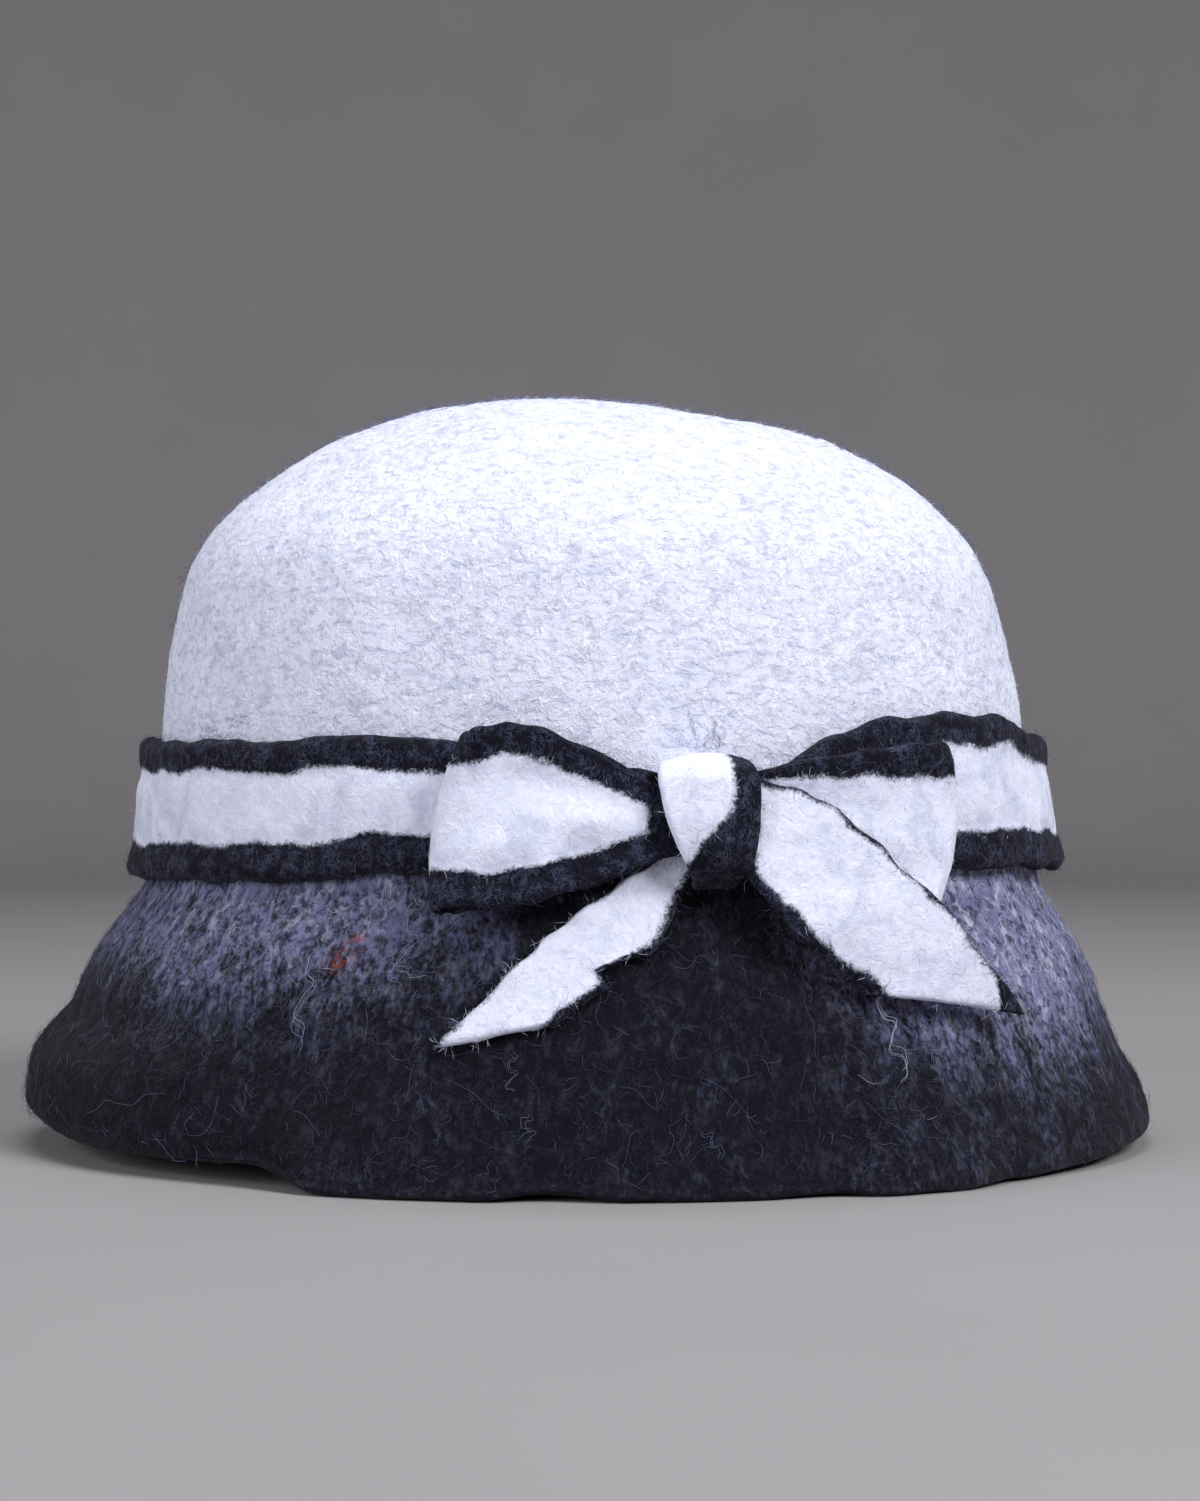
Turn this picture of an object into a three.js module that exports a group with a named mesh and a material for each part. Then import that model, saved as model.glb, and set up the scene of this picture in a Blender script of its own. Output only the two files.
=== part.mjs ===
// A hand-felted cloche hat: a pale crown and a dark flared brim in one wall of felt, with a striped
// felt band round the foot of the crown, gathered into a flat bow on the wearer's right.
// Millimetres, +Z up. +X is the front of the hat, the bow is on the -Y side, and the hem rests on Z = 0.
import * as THREE from 'three';

// Head opening and felt wall
const HEAD_LENGTH = 200;
const HEAD_BREADTH = 160;
const FELT = 3;
const HEM_ROUNDING = 0.8;

// Crown and brim, measured on the outside of the felt
const CROWN_HEIGHT = 115;
const BRIM_HEIGHT = 61.8;
const BRIM_REACH = 31;
const BRIM_SPREAD = 29;
const HEM_LIFT = 8;
const HEM_PUSH = 5;
const DENT_DEPTH = 3;
const DENT_REACH = 20;

// Striped band
const BAND_WIDTH = 33;
const BAND_THICKNESS = 4.4;
const BAND_SLACK = 3;
const SLACK_TAPER = 0.7;
const GATHERED_BAND = 0.55;

// Bow, cut from thinner strips of the same stripe
const BOW_THICKNESS = 2.2;
const GATHERED_BOW = 0.7;
const KNOT_AZIMUTH = 12;
const KNOT_RISE = 16.8;
const KNOT_HEIGHT = 26;
const KNOT_WIDTH = 20;
const KNOT_THICKNESS = 2.2;
const LOOP_DEPTH = 6;
const LEFT_LOOP_LENGTH = 51.5;
const LEFT_LOOP_WIDTH = 42;
const RIGHT_LOOP_LENGTH = 58;
const RIGHT_LOOP_WIDTH = 40;
const LEFT_TAIL_LENGTH = 44;
const LEFT_TAIL_WIDTH = 18;
const RIGHT_TAIL_LENGTH = 62;
const RIGHT_TAIL_WIDTH = 27;
const WAIST_WIDTH = 14;
const CLEARANCE = 0.4;

// Fineness of the faceted solids
const WALL_COLUMNS = 72;
const BAND_STATIONS = 72;

// Colours of the wool
const WHITE_WOOL = new THREE.Color(0xe4e6f0);
const BLACK_WOOL = new THREE.Color(0x17171f);
const HEATHER_WOOL = new THREE.Color(0x6c7196);

// The wall from hem to crown top. brim and crown are shares of the two heights, head of the head oval's
// half sizes, back, front and side of the brim's reach and spread, shift of the head's half length.
const WALL_SECTIONS = [
  { brim: 0.0, crown: 0, head: 1, back: 0.9, front: 0.98, side: 1.0, shift: 0 },
  { brim: 0.1, crown: 0, head: 1, back: 1.04, front: 0.95, side: 0.93, shift: 0 },
  { brim: 0.2, crown: 0, head: 1, back: 1.03, front: 0.88, side: 0.85, shift: 0 },
  { brim: 0.3, crown: 0, head: 1, back: 0.99, front: 0.77, side: 0.77, shift: 0 },
  { brim: 0.4, crown: 0, head: 1, back: 0.87, front: 0.69, side: 0.68, shift: 0 },
  { brim: 0.5, crown: 0, head: 1, back: 0.7, front: 0.61, side: 0.6, shift: 0 },
  { brim: 0.65, crown: 0, head: 1, back: 0.58, front: 0.52, side: 0.465, shift: 0 },
  { brim: 0.8, crown: 0, head: 1, back: 0.4, front: 0.36, side: 0.32, shift: 0 },
  { brim: 0.9, crown: 0, head: 1, back: 0.25, front: 0.24, side: 0.22, shift: 0 },
  { brim: 1.0, crown: 0, head: 1, back: 0.13, front: 0.13, side: 0.13, shift: 0 },
  { brim: 1, crown: 0.1, head: 1, back: 0.06, front: 0.06, side: 0.06, shift: 0 },
  { brim: 1, crown: 0.2, head: 1, back: 0.025, front: 0.025, side: 0.025, shift: 0 },
  { brim: 1, crown: 0.36, head: 0.998, back: 0, front: 0, side: 0, shift: 0 },
  { brim: 1, crown: 0.52, head: 0.968, back: 0, front: 0, side: 0, shift: -0.008 },
  { brim: 1, crown: 0.63, head: 0.934, back: 0, front: 0, side: 0, shift: -0.01 },
  { brim: 1, crown: 0.71, head: 0.88, back: 0, front: 0, side: 0, shift: -0.012 },
  { brim: 1, crown: 0.78, head: 0.803, back: 0, front: 0, side: 0, shift: -0.012 },
  { brim: 1, crown: 0.84, head: 0.712, back: 0, front: 0, side: 0, shift: -0.014 },
  { brim: 1, crown: 0.89, head: 0.614, back: 0, front: 0, side: 0, shift: -0.024 },
  { brim: 1, crown: 0.93, head: 0.51, back: 0, front: 0, side: 0, shift: -0.035 },
  { brim: 1, crown: 0.965, head: 0.375, back: 0, front: 0, side: 0, shift: -0.05 },
  { brim: 1, crown: 0.99, head: 0.19, back: 0, front: 0, side: 0, shift: -0.08 },
  { brim: 1, crown: 1, head: 0, back: 0, front: 0, side: 0, shift: -0.11 },
];

// Rows of the outer wall that the inner wall repeats
const INNER_SECTIONS = [1, 3, 5, 7, 9, 11, 13, 15, 17, 19, 21];

// Waves of the hem round the hat, in degrees from the bow side towards the front.
// lift is a share of HEM_LIFT, push a share of HEM_PUSH.
const HEM_WAVES = [
  { azimuth: -165, lift: 0, push: 0.2 },
  { azimuth: -150, lift: 0.25, push: -0.2 },
  { azimuth: -135, lift: 0.12, push: 0.4 },
  { azimuth: -115, lift: 0.5, push: 0 },
  { azimuth: -90, lift: 0.72, push: 0 },
  { azimuth: -75, lift: 0.58, push: 0 },
  { azimuth: -57, lift: 0.5, push: 0 },
  { azimuth: -34, lift: 0.57, push: -0.4 },
  { azimuth: -25, lift: 0, push: 0.3 },
  { azimuth: -10, lift: 0, push: 0.2 },
  { azimuth: -4, lift: 0.16, push: -0.3 },
  { azimuth: 4, lift: 0, push: 0.1 },
  { azimuth: 16, lift: 0, push: 0.1 },
  { azimuth: 21, lift: 0.05, push: -0.1 },
  { azimuth: 28, lift: 0, push: 0.8 },
  { azimuth: 35, lift: 0, push: 0.8 },
  { azimuth: 43, lift: 0.04, push: 0.1 },
  { azimuth: 53, lift: 0.1, push: 0 },
  { azimuth: 69, lift: 0.34, push: 0 },
  { azimuth: 90, lift: 0.57, push: 0 },
  { azimuth: 115, lift: 0.38, push: 0 },
  { azimuth: 135, lift: 0.06, push: 0.2 },
  { azimuth: 144, lift: 0, push: 0.4 },
  { azimuth: 155, lift: 0, push: 0.3 },
  { azimuth: 167, lift: 0.19, push: -0.3 },
  { azimuth: 180, lift: 0, push: 0.2 },
];

// Soft dents of the wall: azimuth in degrees, section as a row of WALL_SECTIONS,
// reach a share of DENT_REACH and depth of DENT_DEPTH, with bulges below zero.
const DENTS = [
  { azimuth: 90, section: 20.4, reach: 1.0, depth: 0.9 },
  { azimuth: 92, section: 18.6, reach: 0.6, depth: -0.3 },
  { azimuth: -31, section: 1.5, reach: 0.9, depth: 0.8 },
  { azimuth: -4, section: 1, reach: 0.7, depth: 0.5 },
  { azimuth: 22, section: 1.5, reach: 0.7, depth: 0.4 },
  { azimuth: 31, section: 2, reach: 0.8, depth: -0.5 },
  { azimuth: 165, section: 2, reach: 1, depth: 0.8 },
  { azimuth: -150, section: 2, reach: 1, depth: 0.6 },
  { azimuth: 115, section: 14, reach: 1.4, depth: 0.4 },
  { azimuth: -125, section: 15, reach: 1.5, depth: 0.4 },
];

// Edges of the band round the hat: low and high as shares of BAND_WIDTH above the top of the brim,
// slack a share of BAND_SLACK, gather from 0 where it lies open to 1 where the knot draws it together.
const BAND_EDGES = [
  { azimuth: -180, low: 0.04, high: 1.03, slack: 0, gather: 0 },
  { azimuth: -120, low: 0.03, high: 1.0, slack: 0.2, gather: 0 },
  { azimuth: -90, low: 0.01, high: 0.985, slack: 0.4, gather: 0 },
  { azimuth: -44, low: 0.05, high: 0.98, slack: 0, gather: 0 },
  { azimuth: -22, low: 0.13, high: 0.99, slack: 0, gather: 0 },
  { azimuth: -6, low: 0.17, high: 0.91, slack: 0, gather: 0 },
  { azimuth: 4, low: 0.24, high: 0.8, slack: 0, gather: 1 },
  { azimuth: 12, low: 0.27, high: 0.74, slack: 0, gather: 1 },
  { azimuth: 20, low: 0.25, high: 0.77, slack: 0, gather: 1 },
  { azimuth: 31, low: 0.19, high: 1.02, slack: 0, gather: 0 },
  { azimuth: 39, low: 0.16, high: 1.13, slack: 0, gather: 0 },
  { azimuth: 46, low: 0.145, high: 1.165, slack: 0, gather: 0 },
  { azimuth: 59, low: 0.13, high: 1.15, slack: 0.3, gather: 0 },
  { azimuth: 72, low: 0.1, high: 1.03, slack: 0.8, gather: 0 },
  { azimuth: 90, low: 0.06, high: 0.97, slack: 1, gather: 0 },
  { azimuth: 120, low: 0.06, high: 1.0, slack: 0.5, gather: 0 },
  { azimuth: 150, low: 0.04, high: 1.03, slack: 0, gather: 0 },
];

// Section of every felted strip: across is a share of the half width, swell of the half thickness.
// The black borders are rolled a little thicker than the white middle.
const STRIP_SECTION = [
  { across: -1.0, swell: 0.4 },
  { across: -0.9, swell: 1.0 },
  { across: -0.68, swell: 1.0 },
  { across: -0.5, swell: 0.86 },
  { across: 0.0, swell: 0.9 },
  { across: 0.5, swell: 0.86 },
  { across: 0.68, swell: 1.0 },
  { across: 0.9, swell: 1.0 },
  { across: 1.0, swell: 0.4 },
];
const STRIPE_EDGE = 0.6;

// A loop's strip, from its root behind, out to the fold and back to its root in front.
// out is a share of the loop's length, climb of its width, width of its width, raise of LOOP_DEPTH,
// and gather runs from 0 where the felt lies open to 1 at the waist.
const LEFT_LOOP = [
  { out: 0.05, climb: -0.06, width: 0.0, raise: 0, gather: 1 },
  { out: 0.17, climb: -0.06, width: 0.08, raise: 0, gather: 1 },
  { out: 0.35, climb: -0.04, width: 0.45, raise: 0.02, gather: 0.4 },
  { out: 0.6, climb: -0.03, width: 0.78, raise: 0.04, gather: 0 },
  { out: 0.82, climb: -0.04, width: 0.93, raise: 0.04, gather: 0 },
  { out: 0.93, climb: -0.06, width: 0.96, raise: 0.06, gather: 0 },
  { out: 0.985, climb: -0.08, width: 0.95, raise: 0.25, gather: 0 },
  { out: 1.0, climb: -0.09, width: 0.94, raise: 0.52, gather: 0 },
  { out: 0.985, climb: -0.09, width: 0.95, raise: 0.8, gather: 0 },
  { out: 0.93, climb: -0.08, width: 0.98, raise: 0.98, gather: 0 },
  { out: 0.8, climb: -0.06, width: 1.0, raise: 1.0, gather: 0 },
  { out: 0.62, climb: -0.05, width: 0.86, raise: 0.9, gather: 0 },
  { out: 0.4, climb: -0.05, width: 0.5, raise: 0.65, gather: 0.3 },
  { out: 0.2, climb: -0.06, width: 0.12, raise: 0.5, gather: 0.9 },
  { out: 0.05, climb: -0.06, width: 0.0, raise: 0.48, gather: 1 },
];
const RIGHT_LOOP = [
  { out: 0.05, climb: 0.0, width: 0.0, raise: 0, gather: 1 },
  { out: 0.17, climb: 0.0, width: 0.08, raise: 0, gather: 1 },
  { out: 0.35, climb: -0.01, width: 0.3, raise: 0.02, gather: 0.4 },
  { out: 0.6, climb: -0.03, width: 0.5, raise: 0.03, gather: 0 },
  { out: 0.82, climb: -0.09, width: 0.78, raise: 0.03, gather: 0 },
  { out: 0.95, climb: -0.13, width: 0.95, raise: 0.05, gather: 0 },
  { out: 0.988, climb: -0.15, width: 0.98, raise: 0.22, gather: 0 },
  { out: 1.0, climb: -0.15, width: 0.98, raise: 0.47, gather: 0 },
  { out: 0.988, climb: -0.15, width: 0.98, raise: 0.72, gather: 0 },
  { out: 0.95, climb: -0.13, width: 0.96, raise: 0.88, gather: 0 },
  { out: 0.82, climb: -0.1, width: 0.84, raise: 0.86, gather: 0 },
  { out: 0.62, climb: -0.04, width: 0.56, raise: 0.68, gather: 0 },
  { out: 0.4, climb: -0.01, width: 0.34, raise: 0.47, gather: 0.4 },
  { out: 0.2, climb: 0.0, width: 0.12, raise: 0.48, gather: 0.9 },
  { out: 0.05, climb: 0.0, width: 0.0, raise: 0.48, gather: 1 },
];
const LEFT_FOLD = { bulge: 0.068, lean: -0.039, press: 0 };
const RIGHT_FOLD = { bulge: 0.12, lean: 0.084, press: 0.22 };

// A loop's fold: bulge and lean shape its outer edge, press is how far the lower edge is pressed flat.

// A tail, from its root under the knot to its cut end. along is a share of the tail's length,
// drift moves it sideways and width sets it as shares of its width, raise is the stand-off as a share
// of the depth of the bow, tilt lifts the upper edge above the lower one by the same measure.
const LEFT_TAIL = [
  { along: 0.0, drift: 0.0, width: 0.41, raise: 0.37, tilt: 0 },
  { along: 0.15, drift: -0.02, width: 0.6, raise: 0.34, tilt: 0 },
  { along: 0.38, drift: -0.06, width: 0.93, raise: 0.25, tilt: 0 },
  { along: 0.57, drift: 0.0, width: 0.92, raise: 0.19, tilt: 0 },
  { along: 0.75, drift: -0.03, width: 0.96, raise: 0.18, tilt: 0 },
  { along: 1.0, drift: -0.1, width: 0.96, raise: 0.22, tilt: 0 },
];
const RIGHT_TAIL = [
  { along: 0.0, drift: 0.03, width: 0.26, raise: 0.82, tilt: 0 },
  { along: 0.15, drift: 0.09, width: 0.5, raise: 0.835, tilt: 0 },
  { along: 0.27, drift: 0.01, width: 0.85, raise: 0.97, tilt: 0.04 },
  { along: 0.45, drift: -0.06, width: 1.0, raise: 1.0, tilt: 0.12 },
  { along: 0.61, drift: -0.115, width: 1.05, raise: 0.94, tilt: 0.2 },
  { along: 0.77, drift: -0.16, width: 0.98, raise: 0.74, tilt: 0.24 },
  { along: 1.0, drift: -0.2, width: 0.88, raise: 0.42, tilt: 0.12 },
];
// Where a tail leaves the knot, as shares of KNOT_HEIGHT, its fall in degrees below the level,
// and how far its cut end slants, as a share of its length.
const LEFT_ROOT = { side: -0.19, climb: -0.48, fall: 135, slant: 0.29 };
const RIGHT_ROOT = { side: 0.19, climb: 0.2, fall: 45.5, slant: 0.23 };

// The knot's wrap: climb and width are shares of the knot's height and width, side of its width,
// raise runs from 0 behind the band to 1 in front of everything.
const KNOT_WRAP = [
  { climb: 0.36, raise: 0.98, width: 1.0, side: 0.065 },
  { climb: 0.14, raise: 1.02, width: 0.86, side: 0.08 },
  { climb: -0.1, raise: 1.03, width: 0.7, side: 0.1 },
  { climb: -0.32, raise: 1.0, width: 0.54, side: 0.13 },
  { climb: -0.46, raise: 0.82, width: 0.46, side: 0.14 },
  { climb: -0.52, raise: 0.56, width: 0.43, side: 0.14 },
  { climb: -0.52, raise: 0.3, width: 0.43, side: 0.14 },
  { climb: -0.46, raise: 0.08, width: 0.45, side: 0.14 },
  { climb: -0.32, raise: 0.0, width: 0.5, side: 0.12 },
  { climb: 0.0, raise: 0.0, width: 0.7, side: 0.08 },
  { climb: 0.32, raise: 0.0, width: 0.9, side: 0.07 },
  { climb: 0.42, raise: 0.08, width: 0.96, side: 0.065 },
  { climb: 0.48, raise: 0.3, width: 1.0, side: 0.065 },
  { climb: 0.48, raise: 0.6, width: 1.0, side: 0.065 },
  { climb: 0.44, raise: 0.86, width: 1.0, side: 0.065 },
];

const HEAD_HALF_LENGTH = HEAD_LENGTH / 2 + FELT;
const HEAD_HALF_BREADTH = HEAD_BREADTH / 2 + FELT;
const TOP_SECTION = WALL_SECTIONS.length - 1;
const FIRST_CROWN_SECTION = WALL_SECTIONS.findIndex((row) => row.crown > 0);

// Layers of felt at the knot, counted outwards from the hat: each gives its middle's stand-off.
const gatheredBand = BAND_THICKNESS * GATHERED_BAND;
const gatheredBow = BOW_THICKNESS * GATHERED_BOW;
const knotBack = CLEARANCE + KNOT_THICKNESS / 2;
const bandOverKnot = knotBack + KNOT_THICKNESS / 2 + CLEARANCE + gatheredBand / 2;
const loopRootBack = bandOverKnot + gatheredBand / 2 + CLEARANCE + gatheredBow / 2;
const loopRootFront = loopRootBack + gatheredBow + CLEARANCE;
const tailRoot = loopRootFront + gatheredBow + CLEARANCE;
const knotFront = tailRoot + gatheredBow / 2 + CLEARANCE + KNOT_THICKNESS / 2;
const loopOverBand = CLEARANCE + BAND_THICKNESS + CLEARANCE + BOW_THICKNESS / 2;

// One row between the table's rows, every column eased by a Catmull-Rom curve through its neighbours.
function smoothRow(rows, position) {
  const last = rows.length - 1;
  const index = Math.max(0, Math.min(Math.floor(position), last - 1));
  const share = position - index;
  const row = {};
  for (const key of Object.keys(rows[0])) {
    const here = rows[index][key];
    const next = rows[index + 1][key];
    const before = index > 0 ? rows[index - 1][key] : 2 * here - next;
    const after = index + 2 <= last ? rows[index + 2][key] : 2 * next - here;
    const slopeHere = (next - before) / 2;
    const slopeNext = (after - here) / 2;
    const squared = share * share;
    const cubed = squared * share;
    row[key] = (2 * cubed - 3 * squared + 1) * here + (cubed - 2 * squared + share) * slopeHere
      + (3 * squared - 2 * cubed) * next + (cubed - squared) * slopeNext;
  }
  return row;
}

// One row of a table that runs once round the hat, eased between the two rows beside the azimuth.
function roundRow(rows, azimuth) {
  const degrees = THREE.MathUtils.radToDeg(azimuth);
  const turned = THREE.MathUtils.euclideanModulo(degrees - rows[0].azimuth, 360) + rows[0].azimuth;
  let index = rows.length - 1;
  while (rows[index].azimuth > turned) index -= 1;
  const here = rows[index];
  const next = rows[(index + 1) % rows.length];
  const span = THREE.MathUtils.euclideanModulo(next.azimuth - here.azimuth, 360);
  const share = THREE.MathUtils.smoothstep((turned - here.azimuth) / span, 0, 1);
  const row = {};
  for (const key of Object.keys(here)) row[key] = THREE.MathUtils.lerp(here[key], next[key], share);
  return row;
}

// The outside of the wall before dents: azimuth in radians, section a row of WALL_SECTIONS or between.
function bareWall(azimuth, section) {
  const row = smoothRow(WALL_SECTIONS, section);
  const wave = roundRow(HEM_WAVES, azimuth);
  const looseness = (1 - row.brim) ** 2;
  const lengthShare = Math.sin(azimuth) > 0 ? row.front : row.back;
  const push = HEM_PUSH * wave.push * looseness;
  const halfLength = HEAD_HALF_LENGTH * row.head + BRIM_REACH * lengthShare + push;
  const halfBreadth = HEAD_HALF_BREADTH * row.head + BRIM_SPREAD * row.side + push;
  return new THREE.Vector3(
    HEAD_HALF_LENGTH * row.shift + halfLength * Math.sin(azimuth),
    -halfBreadth * Math.cos(azimuth),
    BRIM_HEIGHT * row.brim + CROWN_HEIGHT * row.crown + HEM_LIFT * wave.lift * looseness,
  );
}

function wallNormal(azimuth, section) {
  const step = 0.02;
  const low = Math.max(0, section - step);
  const high = Math.min(TOP_SECTION - step, section + step);
  const round = bareWall(azimuth + step, section).sub(bareWall(azimuth - step, section));
  const up = bareWall(azimuth, high).sub(bareWall(azimuth, low));
  return round.cross(up).normalize();
}

const dentCentres = DENTS.map((dent) => bareWall(THREE.MathUtils.degToRad(dent.azimuth), dent.section));

function dentDepth(point) {
  let depth = 0;
  DENTS.forEach((dent, index) => {
    const distance = point.distanceTo(dentCentres[index]) / (DENT_REACH * dent.reach);
    depth += DENT_DEPTH * dent.depth * Math.exp(-distance * distance);
  });
  return depth;
}

// A point that stands off the outside of the wall, or inside it where the stand-off is below zero.
function wallPoint(azimuth, section, standoff) {
  const point = bareWall(azimuth, section);
  return point.addScaledVector(wallNormal(azimuth, section), standoff - dentDepth(point));
}

// The section at which the wall stands at a given height, found by halving.
function sectionAtHeight(azimuth, height) {
  let low = 0;
  let high = TOP_SECTION;
  for (let round = 0; round < 30; round += 1) {
    const middle = (low + high) / 2;
    if (bareWall(azimuth, middle).z < height) low = middle;
    else high = middle;
  }
  return (low + high) / 2;
}

function onHat(azimuth, height, standoff) {
  return wallPoint(azimuth, sectionAtHeight(azimuth, height), standoff);
}

// Places round the bow: side and climb in millimetres from the middle of the knot, over the hat's curve.
const knotAzimuth = THREE.MathUtils.degToRad(KNOT_AZIMUTH);
const knotHeight = BRIM_HEIGHT + KNOT_RISE;

function onBow(side, climb, standoff) {
  return onHat(knotAzimuth + side / HEAD_HALF_LENGTH, knotHeight + climb, standoff);
}

// A closed mesh from its points and triangles, turned so that its faces point out.
function closedGeometry(points, triangles, colours) {
  let volume = 0;
  for (const [a, b, c] of triangles) {
    volume += points[a].dot(new THREE.Vector3().crossVectors(points[b], points[c]));
  }
  const indices = triangles.flatMap(([a, b, c]) => (volume > 0 ? [a, b, c] : [a, c, b]));
  const geometry = new THREE.BufferGeometry().setFromPoints(points);
  geometry.setAttribute('color', new THREE.Float32BufferAttribute(colours.flatMap((c) => c.toArray()), 3));
  geometry.setIndex(indices);
  geometry.computeVertexNormals();
  return geometry;
}

// Triangles between neighbouring rings of one size, each ring closed on itself.
function ringTriangles(ringCount, ringSize, closed) {
  const triangles = [];
  const spans = closed ? ringCount : ringCount - 1;
  for (let ring = 0; ring < spans; ring += 1) {
    const start = ring * ringSize;
    const nextStart = ((ring + 1) % ringCount) * ringSize;
    for (let column = 0; column < ringSize; column += 1) {
      const nextColumn = (column + 1) % ringSize;
      triangles.push([start + column, start + nextColumn, nextStart + nextColumn]);
      triangles.push([start + column, nextStart + nextColumn, nextStart + column]);
    }
  }
  return triangles;
}

function woolColour(section, azimuth) {
  if (section > FIRST_CROWN_SECTION) return WHITE_WOOL;
  const share = section / FIRST_CROWN_SECTION;
  const side = Math.abs(Math.sin(azimuth - knotAzimuth));
  const heather = THREE.MathUtils.smoothstep(share, 0.25, 0.95) * (0.25 + 0.75 * side);
  return BLACK_WOOL.clone().lerp(HEATHER_WOOL, heather);
}

// Crown and brim: rings up the outside, over the top, and down the inside to the hem.
function hatBodyGeometry() {
  const points = [];
  const colours = [];
  const azimuths = Array.from({ length: WALL_COLUMNS }, (_, column) => (column / WALL_COLUMNS) * 2 * Math.PI);
  const addRing = (place, section) => {
    for (const azimuth of azimuths) {
      points.push(place(azimuth));
      colours.push(woolColour(section, azimuth));
    }
  };
  const hemInset = (azimuth, inset, rise) => {
    const outward = wallNormal(azimuth, 0).setZ(0).normalize();
    const hem = bareWall(azimuth, 0).addScaledVector(outward, -inset);
    return hem.setZ(hem.z + rise);
  };
  const apex = (depth) => bareWall(0, TOP_SECTION).add(new THREE.Vector3(0, 0, -depth));

  addRing((azimuth) => hemInset(azimuth, FELT, 0), 0);
  addRing((azimuth) => hemInset(azimuth, HEM_ROUNDING, 0), 0);
  addRing((azimuth) => hemInset(azimuth, 0, HEM_ROUNDING), 0);
  for (let section = 1; section < TOP_SECTION; section += 1) {
    addRing((azimuth) => wallPoint(azimuth, section, 0), section);
  }
  const outerRings = points.length / WALL_COLUMNS;
  const innerSections = [...INNER_SECTIONS].reverse();
  innerSections.forEach((section) => addRing((azimuth) => wallPoint(azimuth, section, -FELT), section));
  const ringCount = points.length / WALL_COLUMNS;

  // The rings join outside from hem to top and inside from top to hem, and two fans close the tops.
  const triangles = ringTriangles(ringCount, WALL_COLUMNS, true)
    .filter((_, index) => Math.floor(index / (2 * WALL_COLUMNS)) !== outerRings - 1);
  const addFan = (ring, depth, flip) => {
    const centre = points.length;
    points.push(apex(depth));
    colours.push(WHITE_WOOL);
    for (let column = 0; column < WALL_COLUMNS; column += 1) {
      const here = ring * WALL_COLUMNS + column;
      const next = ring * WALL_COLUMNS + ((column + 1) % WALL_COLUMNS);
      triangles.push(flip ? [next, here, centre] : [here, next, centre]);
    }
  };
  addFan(outerRings - 1, 0, false);
  addFan(outerRings, FELT, true);
  return closedGeometry(points, triangles, colours);
}

// A felted strip from its middle surface: a grid of stations along and STRIP_SECTION columns across,
// thickened along its own normals, and closed by its cut ends unless it runs round into itself.
function stripGeometry(middle, thicknesses, closed) {
  const stationCount = middle.length;
  const columnCount = STRIP_SECTION.length;
  const station = (index) => (closed
    ? middle[(index + stationCount) % stationCount]
    : middle[THREE.MathUtils.clamp(index, 0, stationCount - 1)]);
  const points = [];
  const colours = [];
  for (let row = 0; row < stationCount; row += 1) {
    const faces = STRIP_SECTION.map(({ swell }, column) => {
      const along = station(row + 1)[column].clone().sub(station(row - 1)[column]);
      const left = Math.max(0, column - 1);
      const right = Math.min(columnCount - 1, column + 1);
      const across = middle[row][right].clone().sub(middle[row][left]);
      const offset = along.cross(across).normalize().multiplyScalar((swell * thicknesses[row]) / 2);
      return [middle[row][column].clone().add(offset), middle[row][column].clone().sub(offset)];
    });
    points.push(...faces.map((pair) => pair[0]), ...faces.map((pair) => pair[1]).reverse());
    const stripe = STRIP_SECTION.map(({ across }) => (Math.abs(across) > STRIPE_EDGE ? BLACK_WOOL : WHITE_WOOL));
    colours.push(...stripe, ...stripe.slice().reverse());
  }
  const ringSize = 2 * columnCount;
  const triangles = ringTriangles(stationCount, ringSize, closed);
  if (!closed) {
    const lastStart = (stationCount - 1) * ringSize;
    for (let column = 0; column < columnCount - 1; column += 1) {
      const front = column;
      const back = ringSize - 1 - column;
      triangles.push([front, back - 1, front + 1], [front, back, back - 1]);
      triangles.push([lastStart + front, lastStart + front + 1, lastStart + back - 1]);
      triangles.push([lastStart + front, lastStart + back - 1, lastStart + back]);
    }
  }
  return closedGeometry(points, triangles, colours);
}

// The band lies on the hat all round, and climbs over the back of the knot's wrap where it is gathered.
function bandGeometry() {
  const middle = [];
  const thicknesses = [];
  for (let index = 0; index < BAND_STATIONS; index += 1) {
    const azimuth = (index / BAND_STATIONS) * 2 * Math.PI;
    const edge = roundRow(BAND_EDGES, azimuth);
    const low = BRIM_HEIGHT + BAND_WIDTH * edge.low;
    const high = BRIM_HEIGHT + BAND_WIDTH * edge.high;
    const lying = CLEARANCE + BAND_THICKNESS / 2;
    middle.push(STRIP_SECTION.map(({ across }) => {
      const upward = (1 + across) / 2;
      const loose = BAND_SLACK * edge.slack * (1 - SLACK_TAPER * upward);
      const standoff = THREE.MathUtils.lerp(lying + loose, bandOverKnot, edge.gather);
      return onHat(azimuth, THREE.MathUtils.lerp(low, high, upward), standoff);
    }));
    thicknesses.push(THREE.MathUtils.lerp(BAND_THICKNESS, gatheredBand, edge.gather));
  }
  return stripGeometry(middle, thicknesses, true);
}

// Stations along a table: each row and the place halfway to the next one.
function stations(rows) {
  return Array.from({ length: 2 * rows.length - 1 }, (_, index) => smoothRow(rows, index / 2));
}

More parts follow.
